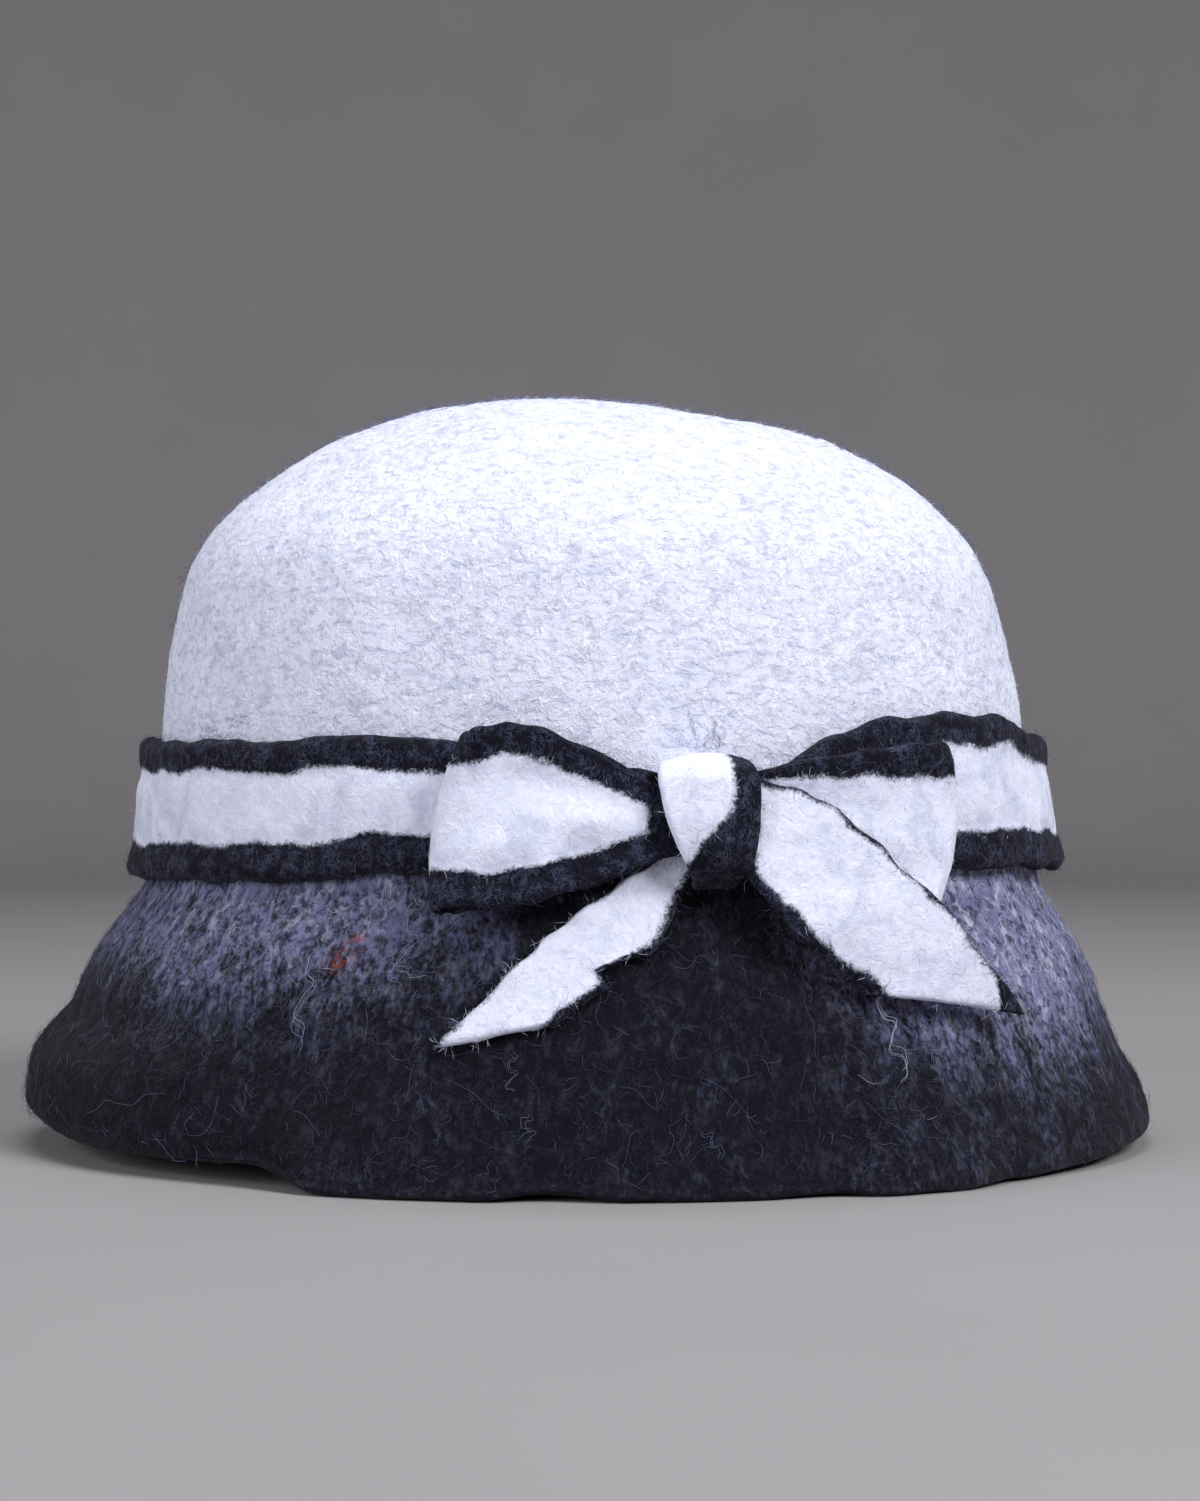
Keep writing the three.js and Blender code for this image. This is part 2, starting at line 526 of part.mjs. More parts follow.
function loopGeometry(rows, length, width, fold, direction) {
  const middle = [];
  const thicknesses = [];
  for (const row of stations(rows)) {
    const gather = THREE.MathUtils.clamp(row.gather, 0, 1);
    const rootLayer = THREE.MathUtils.lerp(loopRootBack, loopRootFront, row.raise / rows.at(-1).raise);
    const halfWidth = (WAIST_WIDTH + (width - WAIST_WIDTH) * Math.max(0, row.width)) / 2;
    middle.push(STRIP_SECTION.map(({ across }) => {
      const reach = length * row.out * (1 - row.out * (fold.bulge * across * across - fold.lean * across));
      const raised = row.raise * LOOP_DEPTH * (1 - fold.press * (1 - across) / 2);
      const standoff = THREE.MathUtils.lerp(loopOverBand + raised, rootLayer, gather);
      return onBow(direction * reach, width * row.climb + halfWidth * across, standoff);
    }));
    thicknesses.push(THREE.MathUtils.lerp(BOW_THICKNESS, gatheredBow, gather));
  }
  return stripGeometry(middle, thicknesses, false);
}

function tailGeometry(rows, root, length, width, direction) {
  const middle = [];
  const thicknesses = [];
  const fall = THREE.MathUtils.degToRad(root.fall);
  const alongSide = Math.cos(fall);
  const alongClimb = -Math.sin(fall);
  const acrossSide = -alongClimb * direction;
  const acrossClimb = alongSide * direction;
  for (const row of stations(rows)) {
    middle.push(STRIP_SECTION.map(({ across }) => {
      const along = length * row.along * (1 + root.slant * row.along * across);
      const sideways = width * (row.drift + (row.width * across) / 2);
      const standoff = (row.raise + row.tilt * across) * knotFront;
      return onBow(
        KNOT_HEIGHT * root.side + along * alongSide + sideways * acrossSide,
        KNOT_HEIGHT * root.climb + along * alongClimb + sideways * acrossClimb,
        standoff,
      );
    }));
    const openness = THREE.MathUtils.smoothstep(row.along, 0.05, 0.3);
    thicknesses.push(THREE.MathUtils.lerp(gatheredBow, BOW_THICKNESS, openness));
  }
  return stripGeometry(middle, thicknesses, false);
}

function knotGeometry() {
  const middle = KNOT_WRAP.map((row) => STRIP_SECTION.map(({ across }) => onBow(
    KNOT_WIDTH * (row.side + (row.width * across) / 2),
    KNOT_HEIGHT * row.climb,
    THREE.MathUtils.lerp(knotBack, knotFront, row.raise),
  )));
  return stripGeometry(middle, middle.map(() => KNOT_THICKNESS), true);
}

function feltMesh(name, geometry) {
  const material = new THREE.MeshStandardMaterial({ color: 0xffffff, vertexColors: true, roughness: 0.95, metalness: 0 });
  const mesh = new THREE.Mesh(geometry, material);
  mesh.name = name;
  return mesh;
}

const hat = new THREE.Group();
hat.add(
  feltMesh('hat_body', hatBodyGeometry()),
  feltMesh('band', bandGeometry()),
  feltMesh('bow_left_loop', loopGeometry(LEFT_LOOP, LEFT_LOOP_LENGTH, LEFT_LOOP_WIDTH, LEFT_FOLD, -1)),
  feltMesh('bow_right_loop', loopGeometry(RIGHT_LOOP, RIGHT_LOOP_LENGTH, RIGHT_LOOP_WIDTH, RIGHT_FOLD, 1)),
  feltMesh('bow_knot', knotGeometry()),
  feltMesh('bow_left_tail', tailGeometry(LEFT_TAIL, LEFT_ROOT, LEFT_TAIL_LENGTH, LEFT_TAIL_WIDTH, -1)),
  feltMesh('bow_right_tail', tailGeometry(RIGHT_TAIL, RIGHT_ROOT, RIGHT_TAIL_LENGTH, RIGHT_TAIL_WIDTH, 1)),
);

// The origin is the middle of the hat's outline on the surface it rests on.
const bounds = new THREE.Box3().setFromObject(hat);
const middleOfHat = bounds.getCenter(new THREE.Vector3());
hat.position.set(-middleOfHat.x, -middleOfHat.y, -bounds.min.z);

export default hat;
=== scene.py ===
"""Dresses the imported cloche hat: felt surfaces, striped band and bow, stray wool fibres, and the stage.

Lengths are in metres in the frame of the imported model: +X is the front of the hat, +Z is up,
and the bow is on the -Y side, which the camera faces. An azimuth runs round the hat from the -Y side,
where it is 0, to the front, where it is 90 degrees.
"""
import math

import bpy
import numpy as np
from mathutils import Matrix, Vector


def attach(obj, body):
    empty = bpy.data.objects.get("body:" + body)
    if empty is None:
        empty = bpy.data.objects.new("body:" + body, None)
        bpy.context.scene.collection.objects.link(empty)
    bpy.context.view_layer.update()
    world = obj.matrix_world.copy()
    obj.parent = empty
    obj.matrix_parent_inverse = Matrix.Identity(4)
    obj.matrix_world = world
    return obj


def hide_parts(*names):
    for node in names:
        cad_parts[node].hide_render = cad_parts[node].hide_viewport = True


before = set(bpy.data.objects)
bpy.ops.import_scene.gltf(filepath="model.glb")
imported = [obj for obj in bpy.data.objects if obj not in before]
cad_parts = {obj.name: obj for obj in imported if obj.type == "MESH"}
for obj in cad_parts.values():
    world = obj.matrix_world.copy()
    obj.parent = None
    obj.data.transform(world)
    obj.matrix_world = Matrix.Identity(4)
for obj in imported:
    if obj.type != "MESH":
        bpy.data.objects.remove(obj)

bl_info = {
    "name": "Felted cloche hat",
    "version": (1, 0, 0),
    "blender": (4, 5, 0),
    "location": "View3D > Sidebar > Cloche hat",
    "description": "Builds a hand-felted cloche hat with a striped band and a flat bow",
    "category": "Add Mesh",
}

# Sections of the wall from the hem to the top, as shares of the brim's height, of the crown's height and
# of the head's size, then of the flare at the back, at the front and at the sides, and how far the ring
# is shifted to the front, as a share of half the head's length.
WALL_SECTIONS = np.array([
    (0.0, 0, 1, 0.9, 0.98, 1.0, 0),
    (0.1, 0, 1, 1.04, 0.95, 0.93, 0),
    (0.2, 0, 1, 1.03, 0.88, 0.85, 0),
    (0.3, 0, 1, 0.99, 0.77, 0.77, 0),
    (0.4, 0, 1, 0.87, 0.69, 0.68, 0),
    (0.5, 0, 1, 0.7, 0.61, 0.6, 0),
    (0.65, 0, 1, 0.58, 0.52, 0.465, 0),
    (0.8, 0, 1, 0.4, 0.36, 0.32, 0),
    (0.9, 0, 1, 0.25, 0.24, 0.22, 0),
    (1.0, 0, 1, 0.13, 0.13, 0.13, 0),
    (1, 0.1, 1, 0.06, 0.06, 0.06, 0),
    (1, 0.2, 1, 0.025, 0.025, 0.025, 0),
    (1, 0.36, 0.998, 0, 0, 0, 0),
    (1, 0.52, 0.968, 0, 0, 0, -0.008),
    (1, 0.63, 0.934, 0, 0, 0, -0.01),
    (1, 0.71, 0.88, 0, 0, 0, -0.012),
    (1, 0.78, 0.803, 0, 0, 0, -0.012),
    (1, 0.84, 0.712, 0, 0, 0, -0.014),
    (1, 0.89, 0.614, 0, 0, 0, -0.024),
    (1, 0.93, 0.51, 0, 0, 0, -0.035),
    (1, 0.965, 0.375, 0, 0, 0, -0.05),
    (1, 0.99, 0.19, 0, 0, 0, -0.08),
    (1, 1, 0, 0, 0, 0, -0.11),
])

# Waves of the hem: azimuth in degrees, and shares of the hem's highest lift and of its sideways push.
HEM_WAVES = np.array([
    (-165, 0, 0.2),
    (-150, 0.25, -0.2),
    (-135, 0.12, 0.4),
    (-115, 0.5, 0),
    (-90, 0.72, 0),
    (-75, 0.58, 0),
    (-57, 0.5, 0),
    (-34, 0.57, -0.4),
    (-25, 0, 0.3),
    (-10, 0, 0.2),
    (-4, 0.16, -0.3),
    (4, 0, 0.1),
    (16, 0, 0.1),
    (21, 0.05, -0.1),
    (28, 0, 0.8),
    (35, 0, 0.8),
    (43, 0.04, 0.1),
    (53, 0.1, 0),
    (69, 0.34, 0),
    (90, 0.57, 0),
    (115, 0.38, 0),
    (135, 0.06, 0.2),
    (144, 0, 0.4),
    (155, 0, 0.3),
    (167, 0.19, -0.3),
    (180, 0, 0.2),
])

# Soft dents: azimuth in degrees, row of the wall's sections, and shares of the dents' reach and depth.
DENTS = np.array([
    (90, 20.4, 1.0, 0.9),
    (92, 18.6, 0.6, -0.3),
    (-31, 1.5, 0.9, 0.8),
    (-4, 1, 0.7, 0.5),
    (22, 1.5, 0.7, 0.4),
    (31, 2, 0.8, -0.5),
    (165, 2, 1, 0.8),
    (-150, 2, 1, 0.6),
    (115, 14, 1.4, 0.4),
    (-125, 15, 1.5, 0.4),
])

# Edges of the band: azimuth in degrees, lower and upper edge as shares of the band's width above the
# brim, share of the slack, and how far it is gathered into the knot, from 0 to 1.
BAND_EDGES = np.array([
    (-180, 0.04, 1.03, 0, 0),
    (-120, 0.03, 1.0, 0.2, 0),
    (-90, 0.01, 0.985, 0.4, 0),
    (-44, 0.05, 0.98, 0, 0),
    (-22, 0.13, 0.99, 0, 0),
    (-6, 0.17, 0.91, 0, 0),
    (4, 0.24, 0.8, 0, 1),
    (12, 0.27, 0.74, 0, 1),
    (20, 0.25, 0.77, 0, 1),
    (31, 0.19, 1.02, 0, 0),
    (39, 0.16, 1.13, 0, 0),
    (46, 0.145, 1.165, 0, 0),
    (59, 0.13, 1.15, 0.3, 0),
    (72, 0.1, 1.03, 0.8, 0),
    (90, 0.06, 0.97, 1, 0),
    (120, 0.06, 1.0, 0.5, 0),
    (150, 0.04, 1.03, 0, 0),
])

# The left loop along its strip, from the root behind to the root in front: reach as a share of its length,
# climb and width as shares of its width, stand-off as a share of its depth, and gathering from 0 to 1.
LEFT_LOOP = np.array([
    (0.05, -0.06, 0.0, 0, 1),
    (0.17, -0.06, 0.08, 0, 1),
    (0.35, -0.04, 0.45, 0.02, 0.4),
    (0.6, -0.03, 0.78, 0.04, 0),
    (0.82, -0.04, 0.93, 0.04, 0),
    (0.93, -0.06, 0.96, 0.06, 0),
    (0.985, -0.08, 0.95, 0.25, 0),
    (1.0, -0.09, 0.94, 0.52, 0),
    (0.985, -0.09, 0.95, 0.8, 0),
    (0.93, -0.08, 0.98, 0.98, 0),
    (0.8, -0.06, 1.0, 1.0, 0),
    (0.62, -0.05, 0.86, 0.9, 0),
    (0.4, -0.05, 0.5, 0.65, 0.3),
    (0.2, -0.06, 0.12, 0.5, 0.9),
    (0.05, -0.06, 0.0, 0.48, 1),
])

# The right loop, in the same columns.
RIGHT_LOOP = np.array([
    (0.05, 0.0, 0.0, 0, 1),
    (0.17, 0.0, 0.08, 0, 1),
    (0.35, -0.01, 0.3, 0.02, 0.4),
    (0.6, -0.03, 0.5, 0.03, 0),
    (0.82, -0.09, 0.78, 0.03, 0),
    (0.95, -0.13, 0.95, 0.05, 0),
    (0.988, -0.15, 0.98, 0.22, 0),
    (1.0, -0.15, 0.98, 0.47, 0),
    (0.988, -0.15, 0.98, 0.72, 0),
    (0.95, -0.13, 0.96, 0.88, 0),
    (0.82, -0.1, 0.84, 0.86, 0),
    (0.62, -0.04, 0.56, 0.68, 0),
    (0.4, -0.01, 0.34, 0.47, 0.4),
    (0.2, 0.0, 0.12, 0.48, 0.9),
    (0.05, 0.0, 0.0, 0.48, 1),
])

# The left tail along its strip: reach as a share of its length, drift and width as shares of its width,
# and stand-off and tilt as shares of the knot's front.
LEFT_TAIL = np.array([
    (-0.15, 0.02, 0.36, 0.5, 0),
    (0.0, 0.0, 0.41, 0.37, 0),
    (0.15, -0.02, 0.6, 0.34, 0),
    (0.38, -0.06, 0.87, 0.25, 0),
    (0.57, -0.01, 0.84, 0.19, 0),
    (0.75, -0.01, 0.78, 0.18, 0),
    (1.08, -0.05, 0.6, 0.22, 0),
])

# The right tail, in the same columns.
RIGHT_TAIL = np.array([
    (0.0, 0.03, 0.26, 0.82, 0),
    (0.15, 0.09, 0.5, 0.835, 0),
    (0.27, 0.01, 0.85, 0.97, 0.04),
    (0.45, -0.06, 1.0, 1.0, 0.12),
    (0.61, -0.115, 0.95, 0.94, 0.2),
    (0.77, -0.135, 0.83, 0.74, 0.24),
    (1.03, -0.13, 0.7, 0.42, 0.12),
])

# The knot's wrap once round: climb as a share of its height, stand-off from 0 at its back to 1 at its
# front, and width and place sideways as shares of its width.
KNOT_WRAP = np.array([
    (0.26, 0.98, 0.97, 0.065),
    (0.06, 1.06, 0.93, 0.075),
    (-0.15, 1.08, 0.85, 0.09),
    (-0.37, 1.03, 0.71, 0.12),
    (-0.53, 0.84, 0.56, 0.14),
    (-0.6, 0.56, 0.46, 0.14),
    (-0.6, 0.3, 0.43, 0.14),
    (-0.5, 0.08, 0.45, 0.14),
    (-0.32, 0.0, 0.5, 0.12),
    (0.0, 0.0, 0.7, 0.08),
    (0.3, 0.0, 0.86, 0.07),
    (0.39, 0.1, 0.88, 0.065),
    (0.435, 0.3, 0.9, 0.065),
    (0.44, 0.54, 0.93, 0.065),
    (0.385, 0.81, 0.96, 0.065),
])

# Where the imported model's middle puts the hat, in metres.
CENTRING = (0.00093, -0.000464)

# Where the photograph was taken from, in metres.
EYE = (0.00293, -0.7005, 0.0923)

# How a loop ends: roundness of its fold and its lean to the upper edge, as shares of its length, and how
# far its lower edge is pressed down, as a share of its stand-off.
LEFT_FOLD = {"bulge": 0.068, "lean": -0.039, "press": 0.0}
RIGHT_FOLD = {"bulge": 0.12, "lean": 0.084, "press": 0.22}

# How a tail leaves the knot: place sideways and up as shares of the knot's height, heading in degrees
# turned down from the front, and slant of its cut end as a share of its length.
LEFT_ROOT = {"side": -0.19, "climb": -0.48, "fall": 135, "slant": 0.18}
RIGHT_ROOT = {"side": 0.19, "climb": 0.2, "fall": 45.5, "slant": 0.22}

# Soft folds of a loop's front: place along its length and across its half width, reach along and across
# in the same shares, and lift in metres.
LEFT_FOLDS = [
    (0.64, 0.4, 0.15, 0.28, -0.0026),
    (0.46, 0.0, 0.16, 0.22, 0.0016),
    (0.9, 0.85, 0.08, 0.22, 0.0018),
    (0.93, -0.75, 0.1, 0.3, 0.0012),
    (0.74, -0.32, 0.2, 0.2, 0.0015),
]
RIGHT_FOLDS = [
    (0.55, 0.1, 0.16, 0.4, -0.0018),
    (0.9, 0.8, 0.16, 0.2, 0.0014),
    (0.8, -0.2, 0.14, 0.3, 0.001),
]

# Millimetres in a metre, for the distance from a black border.
MILLIMETRES = 1000

# Widths of the black borders, in metres, and where a strip turns all black beside the knot or at its tip
# and has its notch, as shares of its length.
LEFT_BORDER = {
    "upper_root": 0.0045, "upper_end": 0.0068, "lower_root": 0.006, "lower_end": 0.0098, "knot": 0.2,
}
RIGHT_BORDER = {
    "upper_root": 0.0015, "upper_end": 0.0078, "lower_root": 0.0, "lower_end": -0.001, "knot": 0.2,
}
LEFT_TAIL_BORDER = {"upper": 0.0, "lower": 0.0013, "tip": 1.5, "notch": 0.66}
RIGHT_TAIL_BORDER = {"upper": 0.0012, "lower": 0.0022, "tip": 1.04, "notch": 1.4}

# Heather of the brim: azimuth in degrees, strength, height where it starts as a share of the brim's, and the
# faint glow below. Below the bow, about -16 to 33 degrees, it is weak and starts high: partly the brim's own
# dark wool and partly painted shadow of the bow.
HEATHER = np.array([
    (-170, 0.75, 0.3, 0.05),
    (-110, 0.8, 0.35, 0.05),
    (-78, 0.7, 0.4, 0.05),
    (-50, 0.85, 0.34, 0.05),
    (-30, 0.76, 0.32, 0.07),
    (-16, 0.46, 0.4, 0.09),
    (-4, 0.12, 0.6, 0.07),
    (22, 0.1, 0.5, 0.08),
    (33, 0.5, 0.33, 0.13),
    (45, 1.3, 0.2, 0.13),
    (57, 1.55, 0.12, 0.13),
    (67, 1.8, 0.18, 0.12),
    (78, 1.2, 0.2, 0.1),
    (115, 0.8, 0.3, 0.05),
])

# Rust-red tufts: azimuth in degrees, height as a share of the brim, radius in metres.
RUST_TUFTS = np.array([
    (-27.1, 0.768, 0.0023),
    (-25.9, 0.83, 0.0017),
])

# Curled locks that lie on the hat: azimuth in degrees, height of the upper end, length, heading in
# degrees above the level, tone from 0, black, to 1, white, strands, spread, and how strongly they curl.
LOCKS = np.array([
    (-20.6, 0.062, 0.029, -84, 0.72, 3, 0.00012, 1.5),
    (-20.0, 0.05, 0.009, -70, 0.5, 2, 0.0009, 2.0),
    (-30.0, 0.05, 0.026, -86, 0.7, 3, 0.00012, 1.2),
    (-29.0, 0.042, 0.01, -100, 0.45, 2, 0.0012, 2.0),
    (31.5, 0.041, 0.026, -84, 0.72, 3, 0.00012, 1.4),
    (34.5, 0.041, 0.014, -75, 0.5, 5, 0.0018, 2.0),
    (36.0, 0.033, 0.01, -60, 0.5, 5, 0.002, 2.4),
    (-7.5, 0.03, 0.014, -85, 0.45, 2, 0.0003, 1.6),
    (-5.5, 0.018, 0.011, -85, 0.4, 2, 0.0006, 1.8),
    (10.0, 0.014, 0.01, -50, 0.4, 2, 0.0006, 1.6),
    (46.5, 0.071, 0.011, -60, 0.45, 3, 0.0005, 4.0),
    (48.0, 0.069, 0.009, 30, 0.4, 2, 0.0005, 4.5),
    (-56.0, 0.0125, 0.03, 8, 0.42, 1, 0.0002, 0.6),
    (-45.0, 0.0105, 0.011, -62, 0.42, 1, 0.0002, 0.4),
    (13.5, 0.098, 0.007, -70, 0.35, 8, 0.002, 1.0),
    (15.5, 0.097, 0.006, -110, 0.3, 6, 0.002, 1.2),
    (-60.0, 0.0985, 0.012, -8, 0.5, 6, 0.002, 0.8),
    (-52.0, 0.098, 0.01, 8, 0.5, 6, 0.002, 0.8),
    (150.0, 0.05, 0.024, -85, 0.65, 3, 0.00015, 1.4),
    (-140.0, 0.046, 0.02, -80, 0.65, 3, 0.00015, 1.5),
    (100.0, 0.05, 0.02, -85, 0.65, 3, 0.00015, 1.5),
])

# Cut sizes of the flat strips, in metres, the area of each cut in square metres, and the pieces.
BOW_PIECES = (
    ("felt_left_loop", "bow_left_loop", (0.042, 0.105), 0.0036, "folded"),
    ("felt_right_loop", "bow_right_loop", (0.04, 0.118), 0.0032, "folded"),
    ("felt_knot", "bow_knot", (0.02, 0.068), 0.00095, "folded"),
    ("felt_left_tail", "bow_left_tail", (0.018, 0.048), 0.00075, "hung"),
    ("felt_right_tail", "bow_right_tail", (0.03, 0.066), 0.0015, "hung"),
)

# How many loose fibres each strip carries.
STRIP_NAP = (
    ("felt_band", 5200),
    ("felt_left_loop", 1500),
    ("felt_right_loop", 1400),
    ("felt_knot", 450),
    ("felt_left_tail", 650),
    ("felt_right_tail", 1000),
)

# Coats of short fibres: range of their lengths, farthest rise and farthest curl in metres, thickness as a
# share of a stray fibre's, and points along each.
COATS = {
    "crown_nap": {"reach": (0.0016, 0.0044), "lift": 0.0012, "curl": 0.0004, "thick": 1.0, "points": 4},
    "brim_nap": {"reach": (0.002, 0.006), "lift": 0.0012, "curl": 0.0011, "thick": 1.0, "points": 5},
    "strip_nap": {"reach": (0.0016, 0.0042), "lift": 0.0011, "curl": 0.0005, "thick": 1.0, "points": 4},
    "crest_hairs": {"reach": (0.002, 0.006), "lift": 0.003, "curl": 0.0008, "thick": 1.5, "points": 5},
}
CROWN_NAP_COUNT = 13500
BRIM_NAP_COUNT = 10800
LONG_HAIR_COUNT = 460
CREST_HAIR_COUNT = 2000
NAP_SEED = 1924
LOCK_SEED = 77

# Headings of short fibres in degrees above the level: middle and spread on the crown, middle at the back
# and at the front of the brim, and spread there.
CROWN_LIE = (-6, 24)
BRIM_LIE = (32, 86)
BRIM_LIE_SPREAD = 60

# Tones from 0, black, to 1, white, of the fibres on the crown, on white strips, on long hairs and on the
# crest, and the darkest and lightest on the brim.
CROWN_TONES = (0.78, 1.0)
STRIP_TONES = (0.82, 1.0)
HAIR_TONES = (0.12, 0.42)
CREST_TONES = (0.2, 0.6)
BRIM_TONES = (0.02, 0.95)

# Long hairs of the brim: ranges of heading and bend in radians, waves, phase, length and stand-off, and
# range of their heights as shares of the brim's.
HAIR_RANGES = (
    (0, 2 * np.pi),
    (0.3, 1.5),
    (0.3, 1.6),
    (0, 2 * np.pi),
    (0.004, 0.016),
    (0.0002, 0.0009),
)
HAIR_HEIGHTS = (0.05, 0.98)

# Points along a long hair and a strand of a lock, and their thickness as shares of a stray fibre's.
HAIR_POINTS = 12
LOCK_POINTS = 26
HAIR_THICKNESS = 0.8
LOCK_THICKNESS = 1.2

# Where hairs grow on the crest: cosines of the way to the eye between which they thicken, how fast they
# die off behind that line, and heights between which they thicken, in metres.
CREST_FACING = (0.09, -0.03)
CREST_FADE = 0.22
CREST_HEIGHTS = (0.105, 0.15)

# Heights between which fibres may lie, and how far off the floor every point of a fibre stays.
LYING_HEIGHTS = (0.0015, 0.17)
FLOOR_GAP = 0.0003

# How far a root strays from the point that it was sown at, how deep it sits in the felt, and the widest
# step of a grid that counts.
ROOT_SHAKE = 0.0005
ROOT_DEPTH = 0.0001
WIDEST_STEP = 0.004

# Grid of the body: rings down the inside, round the hem and up the outside, points in each ring, lowest
# section above the hem's own ring, and how far short of the top the rings stop, in sections.
INSIDE_RINGS = 34
HEM_RINGS = 7
OUTSIDE_RINGS = 148
RING_POINTS = 480
LOWEST_SECTION = 0.4
TOP_GAP = 0.06

# Grid of each strip: stations along it, columns across its flat middle, the share of its half width that
# is rounded at each edge, depth of the groove beside its borders where it has one, and height of its
# bumps in metres. Each rounded edge has columns of its own.
BAND_GRID = {"stations": 640, "columns": 22, "rim": 0.13, "groove": 0.12, "bumps": 0.00045}
LOOP_GRID = {"stations": 150, "columns": 22, "rim": 0.08, "groove": 0.1, "bumps": 0.00038}
TAIL_GRID = {"stations": 130, "columns": 22, "rim": 0.14, "groove": 0.06, "bumps": 0.0004}
KNOT_GRID = {"stations": 150, "columns": 20, "rim": 0.12, "bumps": 0.0003}
EDGE_COLUMNS = 6

# Noises of the felt's relief: weight, size of a lump in metres, and seed.
LUMPS = ((0.6, 0.031, 3), (0.4, 0.013, 5))
PEBBLES = ((0.55, 0.0052, 7), (0.45, 0.0027, 11))
STRIP_BUMPS = ((0.8, 0.012, 23), (0.6, 0.0055, 29), (0.2, 0.0024, 31))

# Small step round the hat, in radians, and up it, in sections, from which a normal is worked out, the long
# step that evens it out under the bow, and how often the search for a height halves its range.
NORMAL_STEP = 0.02
BOW_NORMAL_STEP = 1.3
HALVINGS = 26

# Crumbled edge of the hem: height and size of its lumps in metres, and seed of their noise.
CRUMBLE = {"height": 0.0005, "size": 0.006, "seed": 17}

# Clear gap under the band, and wander of its edges as a share of its width, with the size and seed of the
# noise of each edge.
BAND_SEAT = 0.0001
BAND_WANDER = {"share": 0.022, "low": (0.09, 37), "high": (0.08, 41)}

# Wobble of a loop's edges, in metres, and of a tail's, as a share of its width, and waves along them.
LOOP_WOBBLE = {"height": 0.0003, "waves": 90}
TAIL_WOBBLE = {"share": 0.012, "waves": 40}

# Thickening of the puffed side of a loop, of a tail and of the knot.
LOOP_PUFF = 0.25
TAIL_PUFF = 0.2
KNOT_PUFF = 0.1

# Pleats beside the knot: place and reach along a loop, waves across it, their phase, and height in metres.
PLEATS = {"place": 0.3, "reach": 0.16, "waves": 7, "phase": 0.6, "height": 0.0007}

# The knot's front: dip of its upper edge as a share of its height, height of its creases in metres, their
# waves and phase, and swell between its edges in metres. Its black border is wider below.
KNOT_FRONT = {"dip": 0.07, "crease": 0.0005, "waves": 5.5, "phase": 0.8, "swell": 0.0016}
KNOT_BORDER = {"upper": 0.005, "gain": 0.0075, "lower": -0.002}

# The notch in a tail's lower edge: where it begins before its place and ends past it, as shares of the
# tail's length, and its depth as a share of the width. A black tip's slant is a share of the length.
NOTCH = {"start": -0.36, "end": 0.03, "depth": 0.17}
TIP_SLANT = 0.36

# Share of a strip's length over which its cut ends are rounded, and how far down that rounding goes.
LOOP_END = 0.012
TAIL_END = 0.02
END_DEPTH = 0.95

# Patches of noise: scale, detail, distortion, the values between which they rise, and their strength.
# The crown's bands and clouds and the strips' clouds and specks mask painted blue-grey shade.
CROWN_BANDS = (250.0, 4.0, 0.6, 0.44, 0.68, 0.5)
CROWN_CLOUDS = (45.0, 2.0, 0.0, 0.42, 0.65, 0.16)
BRIM_TUFTS = (300.0, 3.0, 0.6, 0.5, 0.7, 0.65)
RUST_SPECKS = (700.0, 2.0, 0.0, 0.42, 0.56)
STRIP_CLOUDS = (110.0, 3.0, 0.6, 0.44, 0.7, 0.45)
STRIP_SPECKS = (420.0, 3.0, 0.6, 0.42, 0.7, 0.35)
FLOOR_CLOUDS = (9.0, 3.0, 0.0, 0.3, 0.7, 0.25)

# Noise that sways about zero: scale, detail, distortion and reach. The border's reaches are millimetres.
COARSE_CARDING = (95.0, 2.0, 0.4, 1.5)
FINE_CARDING = (560.0, 3.0, 0.8, 2.0)
BORDER_SWAY = (120.0, 1.0, 0.2, 3.6)
BORDER_FRAY = (1100.0, 3.0, 1.0, 2.6)

# Scales of the fibres and of the pits, and upward stretch, for the node group Felt fibres.
BODY_FIBRES = (430.0, 520.0, 0.5)
STRIP_FIBRES = (430.0, 420.0, 0.7)

# Colours of the lightest fibres on the crown, on the strips and on the brim.
CROWN_FIBRE = (0.88, 0.89, 0.97, 1.0)
STRIP_FIBRE = (0.86, 0.88, 0.97, 1.0)
BRIM_FIBRE = (0.44, 0.44, 0.6, 1.0)

# Light that loose fibres catch on felt and on a single fibre, how widely they scatter it, the small gloss
# of wool, and how strongly its bumps show.
FELT_SHEEN = 0.06
FIBRE_SHEEN = 0.05
SHEEN_ROUGHNESS = 0.5
WOOL_GLOSS = 0.04
BUMP_STRENGTH = 0.6

# Area lights of the stage: name, place, width and height, power in watts, and colour. All of them aim at
# the middle of the hat, and the world adds plain light from every side.
LIGHTS = (
    ("key", (0.95, -0.9, 1.05), (0.7, 0.7), 25, (0.98, 0.99, 1.0)),
    ("fill", (-1.15, -0.95, 0.65), (1.2, 0.9), 13.8, (0.97, 0.98, 1.0)),
    ("top", (0.0, 0.1, 1.35), (0.9, 0.7), 8.8, (0.99, 0.99, 1.0)),
)
LIGHTS_AIM = (0.0, 0.0, 0.09)
WORLD_COLOUR = (0.78, 0.82, 0.9, 1)
WORLD_STRENGTH = 0.18

# The floor's radius, the height of the wall round it and the bend between them, in metres, points of its
# grid on each of them and round it, and the camera's focal length and sensor, in millimetres.
STAGE_RADIUS = 1.9
STAGE_HEIGHT = 2.4
STAGE_BEND = 0.5
STAGE_GRID = {"floor": 20, "bend": 24, "wall": 12, "round": 96}
FOCAL_LENGTH = 69.34
SENSOR = 36


